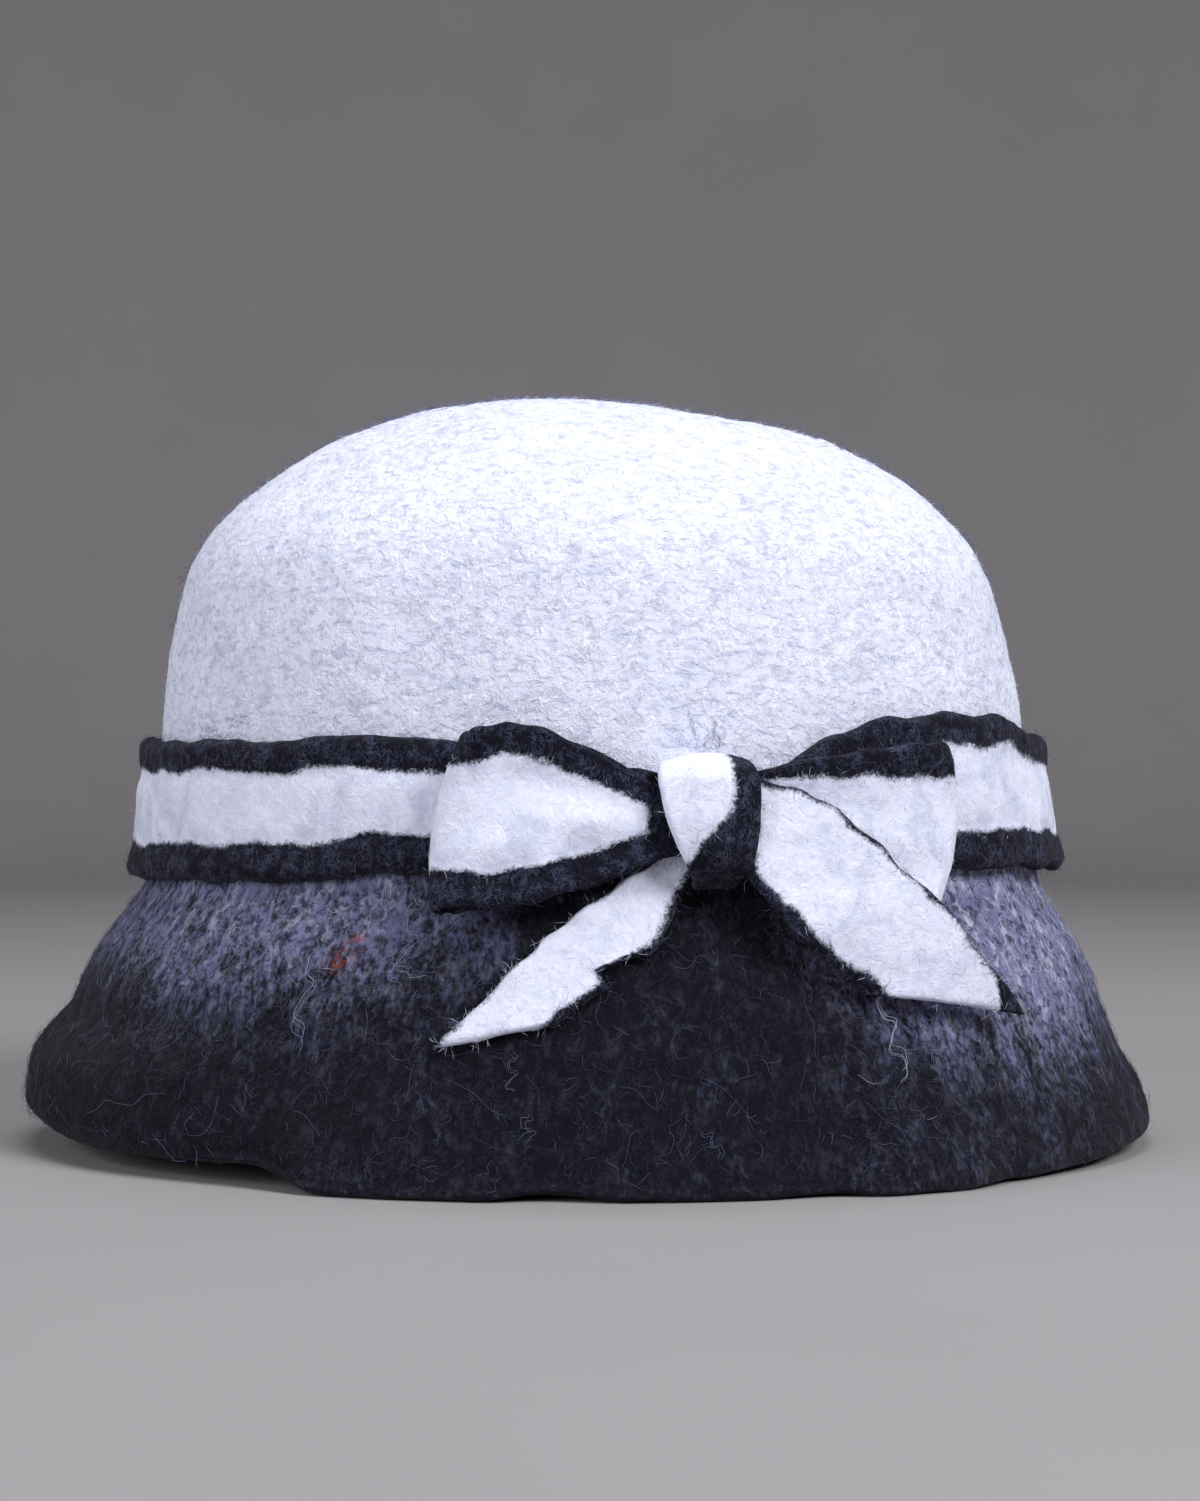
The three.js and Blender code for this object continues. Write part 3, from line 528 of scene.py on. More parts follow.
class HatSizes(bpy.types.PropertyGroup):
    """The hat's own sizes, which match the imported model."""
    head_length: bpy.props.FloatProperty(
        name="Head length", description="Length of the head opening", default=0.2, unit="LENGTH")
    head_breadth: bpy.props.FloatProperty(
        name="Head breadth", description="Breadth of the head opening", default=0.16, unit="LENGTH")
    felt: bpy.props.FloatProperty(
        name="Felt", description="Thickness of the felt wall", default=0.003, unit="LENGTH")
    crown_height: bpy.props.FloatProperty(
        name="Crown height", description="From the top of the brim to the top", default=0.115, unit="LENGTH")
    brim_height: bpy.props.FloatProperty(
        name="Brim height", description="From the hem to the top of the brim", default=0.0618, unit="LENGTH")
    brim_reach: bpy.props.FloatProperty(
        name="Brim reach", description="Flare of the brim at front and back", default=0.031, unit="LENGTH")
    brim_spread: bpy.props.FloatProperty(
        name="Brim spread", description="Flare of the brim at the sides", default=0.029, unit="LENGTH")
    hem_lift: bpy.props.FloatProperty(
        name="Hem lift", description="Highest wave of the hem", default=0.008, unit="LENGTH")
    hem_push: bpy.props.FloatProperty(
        name="Hem push", description="Sideways wave of the hem", default=0.005, unit="LENGTH")
    dent_depth: bpy.props.FloatProperty(
        name="Dent depth", description="Depth of the soft dents", default=0.003, unit="LENGTH")
    dent_reach: bpy.props.FloatProperty(
        name="Dent reach", description="Reach of the soft dents", default=0.02, unit="LENGTH")
    clearance: bpy.props.FloatProperty(
        name="Clearance", description="Gap between layers of felt", default=0.0004, unit="LENGTH")


class BandSizes(bpy.types.PropertyGroup):
    """Sizes of the striped band."""
    width: bpy.props.FloatProperty(
        name="Width", description="Height of the band", default=0.033, unit="LENGTH")
    thickness: bpy.props.FloatProperty(
        name="Thickness", description="Thickness of the band's felt", default=0.0044, unit="LENGTH")
    slack: bpy.props.FloatProperty(
        name="Slack", description="How far the band's loose end stands off", default=0.003, unit="LENGTH")
    slack_taper: bpy.props.FloatProperty(
        name="Slack taper", description="Share of the slack lost by the upper edge", default=0.7)
    gathered: bpy.props.FloatProperty(
        name="Gathered", description="Share of the thickness left under the knot", default=0.55)
    border: bpy.props.FloatProperty(
        name="Border", description="Height of the black borders", default=0.0076, unit="LENGTH")


class BowSizes(bpy.types.PropertyGroup):
    """Sizes of the bow."""
    thickness: bpy.props.FloatProperty(
        name="Thickness", description="Thickness of the bow's felt", default=0.0022, unit="LENGTH")
    gathered: bpy.props.FloatProperty(
        name="Gathered", description="Share of the thickness left in the knot", default=0.7)
    knot_turn: bpy.props.FloatProperty(
        name="Knot turn", description="Place of the knot round the hat", default=math.radians(12),
        subtype="ANGLE")
    knot_rise: bpy.props.FloatProperty(
        name="Knot rise", description="Knot's middle above the brim", default=0.0168, unit="LENGTH")
    knot_height: bpy.props.FloatProperty(
        name="Knot height", description="Height of the knot", default=0.026, unit="LENGTH")
    knot_width: bpy.props.FloatProperty(
        name="Knot width", description="Width of the knot", default=0.02, unit="LENGTH")
    knot_thickness: bpy.props.FloatProperty(
        name="Knot thickness", description="Thickness of the knot's wrap", default=0.0022, unit="LENGTH")
    loop_depth: bpy.props.FloatProperty(
        name="Loop depth", description="How far a loop's front stands off its back", default=0.006,
        unit="LENGTH")
    left_loop: bpy.props.FloatVectorProperty(
        name="Left loop", description="Length and width of the left loop", size=2,
        default=(0.0515, 0.042), unit="LENGTH")
    right_loop: bpy.props.FloatVectorProperty(
        name="Right loop", description="Length and width of the right loop", size=2,
        default=(0.058, 0.04), unit="LENGTH")
    left_tail: bpy.props.FloatVectorProperty(
        name="Left tail", description="Length and width of the left tail", size=2,
        default=(0.044, 0.018), unit="LENGTH")
    right_tail: bpy.props.FloatVectorProperty(
        name="Right tail", description="Length and width of the right tail", size=2,
        default=(0.062, 0.027), unit="LENGTH")
    waist_width: bpy.props.FloatProperty(
        name="Waist width", description="Width of a loop inside the knot", default=0.014, unit="LENGTH")


class FeltLook(bpy.types.PropertyGroup):
    """Colours of the wool, the blue-grey of its painted shade, and the fineness of its surface."""
    white: bpy.props.FloatVectorProperty(
        name="White", description="White wool", size=3, default=(0.73, 0.755, 0.91), subtype="COLOR")
    # Painted shade: the blue-grey that the crown and the white strips take in their pits and in soft noise
    # patches, where shade falls between tufts and over puffed felt.
    shadow: bpy.props.FloatVectorProperty(
        name="Shadow white", description="Blue-grey cast between white fibres", size=3,
        default=(0.41, 0.435, 0.6), subtype="COLOR")
    black: bpy.props.FloatVectorProperty(
        name="Black", description="Black wool", size=3, default=(0.0055, 0.006, 0.0105), subtype="COLOR")
    heather: bpy.props.FloatVectorProperty(
        name="Heather", description="Lavender grey of the mixed wool", size=3,
        default=(0.135, 0.14, 0.265), subtype="COLOR")
    rust: bpy.props.FloatVectorProperty(
        name="Rust", description="The few orange fibres", size=3, default=(0.2, 0.035, 0.015),
        subtype="COLOR")
    floor: bpy.props.FloatVectorProperty(
        name="Floor", description="Floor and backdrop", size=3, default=(0.29, 0.277, 0.286),
        subtype="COLOR")
    lump: bpy.props.FloatProperty(
        name="Lump", description="Height of the felt's soft lumps", default=0.0006, unit="LENGTH")
    pebble: bpy.props.FloatProperty(
        name="Pebble", description="Height of the felt's pebbles", default=0.0003, unit="LENGTH")
    fibre: bpy.props.FloatProperty(
        name="Fibre", description="Thickness of a stray fibre", default=0.00007, unit="LENGTH")


def smooth_rows(rows, position):
    """Rows of a table at any position, eased by a Catmull-Rom curve through the neighbouring rows."""
    last = len(rows) - 1
    index = np.clip(np.floor(position).astype(int), 0, last - 1)
    share = (position - index)[..., None]
    here = rows[index]
    after = rows[index + 1]
    before = np.where(index[..., None] > 0, rows[np.maximum(index - 1, 0)], 2 * here - after)
    beyond = np.where(index[..., None] + 2 <= last, rows[np.minimum(index + 2, last)], 2 * after - here)
    slope_here = (after - before) / 2
    slope_after = (beyond - here) / 2
    squared = share ** 2
    cubed = share ** 3
    return ((2 * cubed - 3 * squared + 1) * here + (cubed - 2 * squared + share) * slope_here
            + (3 * squared - 2 * cubed) * after + (cubed - squared) * slope_after)


def round_rows(rows, azimuth):
    """Rows of a table that runs once round the hat, eased between the two rows beside each azimuth."""
    first = rows[0, 0]
    turned = np.mod(np.degrees(azimuth) - first, 360) + first
    index = np.searchsorted(rows[:, 0], turned, side="right") - 1
    here = rows[index]
    after = rows[(index + 1) % len(rows)]
    span = np.mod(after[..., 0] - here[..., 0], 360)
    share = smooth_step(0, 1, (turned - here[..., 0]) / span)[..., None]
    return here + (after - here) * share


def smooth_step(low, high, value):
    """0 below low, 1 above high, and an S between them: t squared times (3 minus 2t)."""
    share = np.clip((value - low) / (high - low), 0, 1)
    return share * share * (3 - 2 * share)


def eased_columns(rows, share):
    """A table's columns at shares of its length from 0 to 1, each as one column of numbers."""
    return np.moveaxis(smooth_rows(rows, share * (len(rows) - 1)), -1, 0)[..., None]


def unit(vectors):
    """Vectors divided by their lengths."""
    return vectors / np.maximum(np.linalg.norm(vectors, axis=-1, keepdims=True), 1e-12)


def soft_noise(points, cell, seed):
    """Noise from -1 to 1: a value for each corner of a lattice of cubes, eased between the corners."""
    place = points / cell
    base = np.floor(place).astype(np.int64)
    share = place - base
    ease = share ** 3 * (share * (share * 6 - 15) + 10)
    total = np.zeros(points.shape[:-1])
    for corner in np.ndindex(2, 2, 2):
        key = base + np.array(corner)
        mixed = key[..., 0] * 73856093 ^ key[..., 1] * 19349663 ^ key[..., 2] * 83492791 ^ seed * 2654435
        mixed = (mixed ^ (mixed >> 13)) * 1274126177 & 0xFFFFFFFF
        mixed = (mixed ^ (mixed >> 16)) * 2246822519 & 0xFFFFFFFF
        value = (mixed ^ (mixed >> 15)) / 0xFFFFFFFF * 2 - 1
        weight = np.prod(np.where(corner, ease, 1 - ease), axis=-1)
        total += weight * value
    return total


def layered_noise(points, layers):
    """A sum of noises, one for each row of weight, size and seed."""
    return sum(weight * soft_noise(points, cell, seed) for weight, cell, seed in layers)


class HatShape:
    """The hat's surfaces as functions of the azimuth and the height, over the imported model's sizes."""

    def __init__(self, scene):
        self.hat = scene.hat_sizes
        self.band = scene.band_sizes
        self.bow = scene.bow_sizes
        self.look = scene.felt_look
        self.top = len(WALL_SECTIONS) - 1
        self.half_length = self.hat.head_length / 2 + self.hat.felt
        self.half_breadth = self.hat.head_breadth / 2 + self.hat.felt
        self.dent_centres = self.bare_wall(np.radians(DENTS[:, 0]), DENTS[:, 1])
        # Stand-offs of the layers under the knot's front, from the wall out: the back of its wrap, the
        # gathered band, the roots of the loops and of the tails, and the front of the wrap.
        clearance = self.hat.clearance
        gathered_band = self.band.thickness * self.band.gathered
        gathered_bow = self.bow.thickness * self.bow.gathered
        self.knot_back = clearance + self.bow.knot_thickness / 2
        self.band_over_knot = self.knot_back + self.bow.knot_thickness / 2 + clearance + gathered_band / 2
        self.loop_root_back = self.band_over_knot + gathered_band / 2 + clearance + gathered_bow / 2
        self.loop_root_front = self.loop_root_back + gathered_bow + clearance
        tail_root = self.loop_root_front + gathered_bow + clearance
        self.knot_front = tail_root + gathered_bow / 2 + clearance + self.bow.knot_thickness / 2
        self.loop_over_band = 2 * clearance + self.band.thickness + self.bow.thickness / 2
        self.gathered_bow = gathered_bow

    def bare_wall(self, azimuth, section):
        """Outside of the wall: an oval of the head plus the flare, at the height of the section's row."""
        brim, crown, head, back, front, side, shift = np.moveaxis(
            smooth_rows(WALL_SECTIONS, section), -1, 0)
        _, lift, push = np.moveaxis(round_rows(HEM_WAVES, azimuth), -1, 0)
        loose = (1 - brim) ** 2
        flare = np.where(np.sin(azimuth) > 0, front, back)
        push = self.hat.hem_push * push * loose
        length = self.half_length * head + self.hat.brim_reach * flare + push
        breadth = self.half_breadth * head + self.hat.brim_spread * side + push
        height = (self.hat.brim_height * brim + self.hat.crown_height * crown
                  + self.hat.hem_lift * lift * loose)
        x = self.half_length * shift + length * np.sin(azimuth) + CENTRING[0]
        y = -breadth * np.cos(azimuth) + CENTRING[1]
        return np.stack([x, y, height], axis=-1)

    def wall_normal(self, azimuth, section, step=NORMAL_STEP):
        """Outward normal: the cross product of a step round the hat and a step up the wall."""
        low = np.maximum(section - step, 0)
        high = np.minimum(section + step, self.top - NORMAL_STEP)
        after = self.bare_wall(azimuth + NORMAL_STEP, section)
        round_step = after - self.bare_wall(azimuth - NORMAL_STEP, section)
        up_step = self.bare_wall(azimuth, high) - self.bare_wall(azimuth, low)
        return unit(np.cross(round_step, up_step))

    def dent(self, points):
        """Depth of the soft dents: a bell curve of the distance from each dent's middle."""
        depth = np.zeros(points.shape[:-1])
        for row, centre in zip(DENTS, self.dent_centres):
            distance = np.linalg.norm(points - centre, axis=-1) / (self.hat.dent_reach * row[2])
            depth += self.hat.dent_depth * row[3] * np.exp(-distance ** 2)
        return depth

    def on_wall(self, azimuth, section, standoff):
        """A point that stands off the wall along its normal, less the dents."""
        points = self.bare_wall(azimuth, section)
        reach = (standoff - self.dent(points))[..., None]
        return points + reach * self.wall_normal(azimuth, section)

    def section_at(self, azimuth, height):
        """The wall's section at a height, found by halving."""
        low = np.zeros_like(height)
        high = np.full_like(height, self.top)
        for _ in range(HALVINGS):
            middle = (low + high) / 2
            below = self.bare_wall(azimuth, middle)[..., 2] < height
            low = np.where(below, middle, low)
            high = np.where(below, high, middle)
        return (low + high) / 2

    def on_hat(self, azimuth, height, standoff):
        """A point that stands off the wall at a height."""
        return self.on_wall(azimuth, self.section_at(azimuth, height), standoff)

    def on_bow(self, side, climb, standoff):
        """A point off the wall, side and climb measured from the middle of the knot, along a normal
        that is evened out over the neighbouring rows of the wall."""
        azimuth = self.bow.knot_turn + side / self.half_length
        section = self.section_at(azimuth, self.hat.brim_height + self.bow.knot_rise + climb)
        points = self.bare_wall(azimuth, section)
        reach = (standoff - self.dent(points))[..., None]
        return points + reach * self.wall_normal(azimuth, section, BOW_NORMAL_STEP)

    def relief(self, points, fineness):
        """Hand-felted relief: soft lumps of two sizes and pebbles, all of them eased noise."""
        lumps = fineness * self.look.lump * layered_noise(points, LUMPS)
        return lumps + self.look.pebble * layered_noise(points, PEBBLES)


def grid_normals(points, closed_along, closed_across):
    """Normals of a grid of points: the cross product of the steps between each point's neighbours."""
    def step(axis, closed):
        if closed:
            return np.roll(points, -1, axis) - np.roll(points, 1, axis)
        return np.gradient(points, axis=axis)
    return unit(np.cross(step(0, closed_along), step(1, closed_across)))


def grid_faces(rows, columns, closed_along, closed_across):
    """Four-sided faces between the neighbouring points of a grid."""
    row = np.arange(rows if closed_along else rows - 1)[:, None]
    column = np.arange(columns if closed_across else columns - 1)[None, :]
    next_row = (row + 1) % rows
    next_column = (column + 1) % columns
    corners = [row * columns + column, row * columns + next_column,
               next_row * columns + next_column, next_row * columns + column]
    return np.stack(np.broadcast_arrays(*corners), axis=-1).reshape(-1, 4)


def make_mesh(name, points, face_sets, values):
    """A mesh object from arrays of points and faces, with named values for the materials to read."""
    points = np.asarray(points, dtype=np.float32).reshape(-1, 3)
    corners = np.concatenate([faces.ravel() for faces in face_sets]).astype(np.int32)
    sizes = np.concatenate([np.full(len(faces), faces.shape[1]) for faces in face_sets])
    starts = np.concatenate(([0], np.cumsum(sizes)[:-1])).astype(np.int32)
    mesh = bpy.data.meshes.new(name)
    mesh.vertices.add(len(points))
    mesh.vertices.foreach_set("co", points.ravel())
    mesh.loops.add(len(corners))
    mesh.loops.foreach_set("vertex_index", corners)
    mesh.polygons.add(len(sizes))
    mesh.polygons.foreach_set("loop_start", starts)
    mesh.polygons.foreach_set("use_smooth", np.ones(len(sizes), dtype=bool))
    mesh.update(calc_edges=True)
    for key, value in values.items():
        attribute = mesh.attributes.new(key, "FLOAT", "POINT")
        attribute.data.foreach_set("value", np.asarray(value, dtype=np.float32).ravel())
    piece = bpy.data.objects.new(name, mesh)
    bpy.context.scene.collection.objects.link(piece)
    return piece


def closed_tops(rows, columns):
    """Fans of three-sided faces from the first and last ring of a grid to a pole each."""
    column = np.arange(columns)
    after = (column + 1) % columns
    start = (rows - 1) * columns
    first = np.stack([after, column, np.full(columns, rows * columns)], axis=-1)
    last = np.stack([start + column, start + after, np.full(columns, rows * columns + 1)], axis=-1)
    return np.concatenate([first, last])


def body_surface(shape):
    """Crown and brim. A grid of rings round the hat: down the inside, half a circle under the hem,
    and up the outside, where the felt's relief is added along the normal."""
    felt = shape.hat.felt
    azimuth = np.arange(RING_POINTS)[None, :] / RING_POINTS * 2 * np.pi
    highest = shape.top - TOP_GAP
    inner_section = np.linspace(highest, LOWEST_SECTION, INSIDE_RINGS)[:, None]
    normal = shape.wall_normal(azimuth, inner_section)
    level = unit(normal * (1, 1, 0))
    blend = smooth_step(0.2, 2.5, inner_section)[..., None]
    inward = unit(level * (1 - blend) + normal * blend)
    inner = shape.bare_wall(azimuth, inner_section)
    inner = inner - (felt + shape.dent(inner))[..., None] * inward

    turn = np.linspace(np.pi, 0, HEM_RINGS)[:, None, None]
    hem = shape.bare_wall(azimuth, np.zeros((1, 1)))
    outward = unit(shape.wall_normal(azimuth, np.zeros((1, 1))) * (1, 1, 0))
    hem = hem + outward * felt / 2 * (np.cos(turn) - 1) + np.array((0, 0, felt / 2)) * (1 - np.sin(turn))

    outer_section = np.linspace(LOWEST_SECTION, highest, OUTSIDE_RINGS)[:, None]
    outer = shape.on_wall(azimuth, outer_section, np.zeros((1, 1)))
    fineness = 1 - 0.6 * smooth_step(shape.top - 2.5, shape.top, outer_section)
    outer = outer + shape.wall_normal(azimuth, outer_section) * shape.relief(outer, fineness)[..., None]
    crumble = 0.5 + 0.5 * soft_noise(hem, CRUMBLE["size"], CRUMBLE["seed"])
    hem = hem + CRUMBLE["height"] * (np.array((0, 0, 1)) * crumble[..., None]) * np.sin(turn)

    points = np.concatenate([inner, hem, outer])
    rows = len(points)
    poles = shape.bare_wall(np.zeros(2), np.full(2, float(shape.top)))
    poles[0] -= (0, 0, felt)
    flat = np.concatenate([points.reshape(-1, 3), poles])
    faces = grid_faces(rows, RING_POINTS, False, True)
    height = flat[:, 2] / shape.hat.brim_height
    middle = 1 + 0.5 * shape.band.width / shape.hat.brim_height
    round_hat = np.arctan2(flat[:, 0], -flat[:, 1])
    # The heather is weak under the bow, partly as painted shadow of the bow.
    _, strength, foot, glow = np.moveaxis(round_rows(HEATHER, round_hat), -1, 0)
    values = {
        "crown": smooth_step(middle - 0.1, middle + 0.1, height),
        "heather": strength * smooth_step(foot, 1.12, height) + glow * smooth_step(1.3, 0.2, height),
        "rust": rust_tufts(shape, flat),
    }
    return {"grid": points, "round": (False, True), "flat": flat,
            "faces": [faces, closed_tops(rows, RING_POINTS)],
            "skin": slice(INSIDE_RINGS + HEM_RINGS, None), "values": values}


def rust_tufts(shape, points):
    """Strength of the rust-red tufts at each point: the sum of a bell round each tuft."""
    azimuth, height, radius = RUST_TUFTS.T
    places = shape.on_hat(np.radians(azimuth), height * shape.hat.brim_height, 0.0)
    away = np.linalg.norm(points[:, None] - places, axis=-1)
    return np.exp(-(away / radius) ** 2).sum(axis=-1)


def strip_columns(mesh):
    """Columns across a strip from -1 to 1, closer together where its edges are rounded, and the
    thickness there: 1, falling to 0 along a quarter circle at each edge."""
    rim = mesh["rim"]
    turn = np.linspace(0, np.pi / 2, EDGE_COLUMNS + 1)[:-1]
    edge = 1 - rim + rim * np.cos(turn)
    across = np.concatenate([-edge, np.linspace(rim - 1, 1 - rim, mesh["columns"]), edge[::-1]])
    past = np.clip((np.abs(across) - 1 + rim) / rim, 0, 1)
    return across, np.sqrt(1 - past ** 2)


def swell(across, groove):
    """Swell of a strip: full in the rolled borders, a groove beside them, and a soft middle."""
    return 1 - groove * np.exp(-((np.abs(across) - 0.5) / 0.13) ** 2)


def rounded_ends(share, reach):
    """Thickness of a strip near its cut ends: it falls along a quarter circle over the given share of
    the strip's length."""
    past = np.clip(1 - np.minimum(share, 1 - share) / reach, 0, END_DEPTH)
    return np.sqrt(1 - past ** 2)[:, None]


def signed_volume(points, faces):
    """The sum of the triple products of three corners of each face: below zero where a closed surface
    is inside out."""
    first, second, third = (points[faces[:, corner]] for corner in range(3))
    return np.einsum("ij,ij->i", first, np.cross(second, third)).sum()


def strip_surface(middle, half, closed, bumps, values):
    """A strip of felt: its middle surface plus and minus half its thickness along the normal, joined
    into rings, with the felt's relief on top and the cut ends closed."""
    normal = grid_normals(middle, closed, False)
    above = middle + normal * half[..., None]
    below = middle - normal * half[..., None]
    columns = middle.shape[1]
    order = np.concatenate([np.arange(columns), np.arange(columns - 2, 0, -1)])
    ring = np.concatenate([above, below[:, -2:0:-1]], axis=1)
    outward = grid_normals(ring, closed, True)
    ring = ring + outward * (bumps * layered_noise(ring, STRIP_BUMPS))[..., None]
    flat = ring.reshape(-1, 3)
    faces = [grid_faces(len(ring), len(order), closed, True)]
    if not closed:
        faces.append(end_faces(columns, 0, True))
        faces.append(end_faces(columns, (len(ring) - 1) * len(order), False))
    if signed_volume(flat, faces[0]) < 0:
        faces = [each[:, ::-1] for each in faces]
    spread = {key: value[:, order] for key, value in values.items()}
    return {"grid": ring, "round": (closed, True), "flat": flat, "faces": faces,
            "skin": slice(None), "values": spread}


def end_faces(columns, start, turned):
    """Four-sided faces across a strip's cut end, between its upper and lower points."""
    upper = np.arange(1, columns - 2)
    size = 2 * columns - 2
    faces = np.stack([upper, upper + 1, size - upper - 1, size - upper], axis=-1)
    first = np.array([[0, 1, size - 1, size - 1]])
    last = np.array([[columns - 2, columns - 1, columns, columns]])
    faces = start + np.concatenate([first, faces, last])
    return faces[:, ::-1] if turned else faces


def stripes(across, half_width, upper, lower):
    """Millimetres into the black border, above zero in the black and below it in the white."""
    place = across * half_width
    return MILLIMETRES * np.maximum(place - half_width + upper, lower - half_width - place)


def band_surface(shape):
    """The band: a closed strip whose edges run round the hat by a table, seated on the wall, and
    carried out over the back of the knot where it is gathered."""
    band = shape.band
    across, thick = strip_columns(BAND_GRID)
    stations = BAND_GRID["stations"]
    azimuth = np.arange(stations)[:, None] / stations * 2 * np.pi
    _, low, high, slack, gather = np.moveaxis(round_rows(BAND_EDGES, azimuth), -1, 0)
    turn = np.concatenate([np.sin(azimuth), np.cos(azimuth), 0 * azimuth], axis=-1)[:, None, :]
    low = low + BAND_WANDER["share"] * soft_noise(turn, *BAND_WANDER["low"]) * (1 - gather)
    high = high + BAND_WANDER["share"] * soft_noise(turn, *BAND_WANDER["high"]) * (1 - gather)
    upward = (1 + across[None, :]) / 2
    half = band.thickness / 2 * thick * swell(across, BAND_GRID["groove"])
    half = half * (1 + (band.gathered - 1) * gather)
    seat = BAND_SEAT + half + band.slack * slack * (1 - band.slack_taper * upward)
    standoff = seat + (shape.band_over_knot - seat) * gather
    height = shape.hat.brim_height + band.width * (low + (high - low) * upward)
    middle = shape.on_hat(azimuth + 0 * upward, height, standoff)
    half_width = band.width * (high - low) / 2
    lower = band.border + 0 * half_width
    black = stripes(across, half_width, 0.85 * lower, lower)
    return strip_surface(middle, half + 0 * standoff, True, BAND_GRID["bumps"], {"black": black})


def loop_surface(shape, rows, size, fold, direction, folds, border):
    """A loop: a strip that leaves the knot behind, turns back at its fold, and comes in again in front.
    Its reach, climb, width and stand-off run along a table, and soft folds are bell curves on the front."""
    bow = shape.bow
    length, width = size
    across, thick = strip_columns(LOOP_GRID)
    along = np.linspace(0, 1, LOOP_GRID["stations"])
    out, climb, wide, rise, gather = eased_columns(rows, along)
    gather = np.clip(gather, 0, 1)
    root = shape.loop_root_back + (shape.loop_root_front - shape.loop_root_back) * rise / rows[-1, 3]
    half_width = (bow.waist_width + (width - bow.waist_width) * np.maximum(0, wide)) / 2
    reach = length * out * (1 - out * (fold["bulge"] * across ** 2 - fold["lean"] * across))
    raised = rise * bow.loop_depth * (1 - fold["press"] * (1 - across) / 2)
    front = smooth_step(0.5, 0.66, along)[:, None]
    for place, side, reach_out, reach_across, lift in folds:
        bell = np.exp(-((out - place) / reach_out) ** 2 - ((across - side) / reach_across) ** 2)
        raised = raised + front * lift * bell
    pleat = np.exp(-((out - PLEATS["place"]) / PLEATS["reach"]) ** 2)
    pleat = pleat * np.cos(across * PLEATS["waves"] + PLEATS["phase"])
    standoff = shape.loop_over_band + raised + PLEATS["height"] * front * pleat
    standoff = standoff + (root - standoff) * gather
    rim = np.sin(along * LOOP_WOBBLE["waves"])[:, None] * LOOP_WOBBLE["height"] * (1 - gather)
    middle = shape.on_bow(direction * reach, width * climb + (half_width + rim) * across, standoff)
    puff = 1 + LOOP_PUFF * front * (1 - gather)
    half = bow.thickness / 2 * thick * swell(across, LOOP_GRID["groove"]) * rounded_ends(along, LOOP_END)
    half = half * puff
    half = half * (1 + (bow.gathered - 1) * gather)
    inward = np.clip((out - 0.1) / 0.9, 0, 1)
    upper = border["upper_root"] + (border["upper_end"] - border["upper_root"]) * inward
    lower = border["lower_root"] + (border["lower_end"] - border["lower_root"]) * inward
    black = stripes(across, half_width, upper, lower)
    black = np.maximum(black, MILLIMETRES * length * (border["knot"] - out) + 0 * across)
    return strip_surface(middle, half, False, LOOP_GRID["bumps"], {"black": black})


def tail_surface(shape, rows, root, size, direction, border):
    """A tail: a flat strip that falls from the knot at an angle, drifting, widening and tilting by a
    table, with its cut end on a slant."""
    bow = shape.bow
    length, width = size
    across, thick = strip_columns(TAIL_GRID)
    share = np.linspace(0, 1, TAIL_GRID["stations"])
    along, drift, wide, rise, tilt = eased_columns(rows, share)
    fall = np.radians(root["fall"])
    past = along - border["notch"]
    notch = smooth_step(NOTCH["start"], 0, past) * smooth_step(NOTCH["end"], 0, past)
    notch = notch * smooth_step(-0.3, -1, across)
    forward = length * along * (1 + root["slant"] * along * across)
    wobble = TAIL_WOBBLE["share"] * np.sin(share * TAIL_WOBBLE["waves"])[:, None] * across
    sideways = width * (drift + wide * across / 2 + NOTCH["depth"] * notch + wobble)
    side = bow.knot_height * root["side"] + forward * np.cos(fall) + sideways * np.sin(fall) * direction
    climb = bow.knot_height * root["climb"] - forward * np.sin(fall) + sideways * np.cos(fall) * direction
    standoff = (rise + tilt * across) * shape.knot_front
    middle = shape.on_bow(side, climb, standoff)
    open_share = smooth_step(0.05, 0.3, along)
    thickness = shape.gathered_bow + (bow.thickness - shape.gathered_bow) * open_share
    half = thickness / 2 * thick * swell(across, TAIL_GRID["groove"]) * rounded_ends(share, TAIL_END)
    half = half * (1 + TAIL_PUFF * open_share)
    half_width = width * wide / 2
    black = stripes(across, half_width, border["upper"], border["lower"])
    tip = MILLIMETRES * length * (forward / length - border["tip"] - TIP_SLANT * (1 - across))
    return strip_surface(middle, half, False, TAIL_GRID["bumps"], {"black": np.maximum(black, tip)})


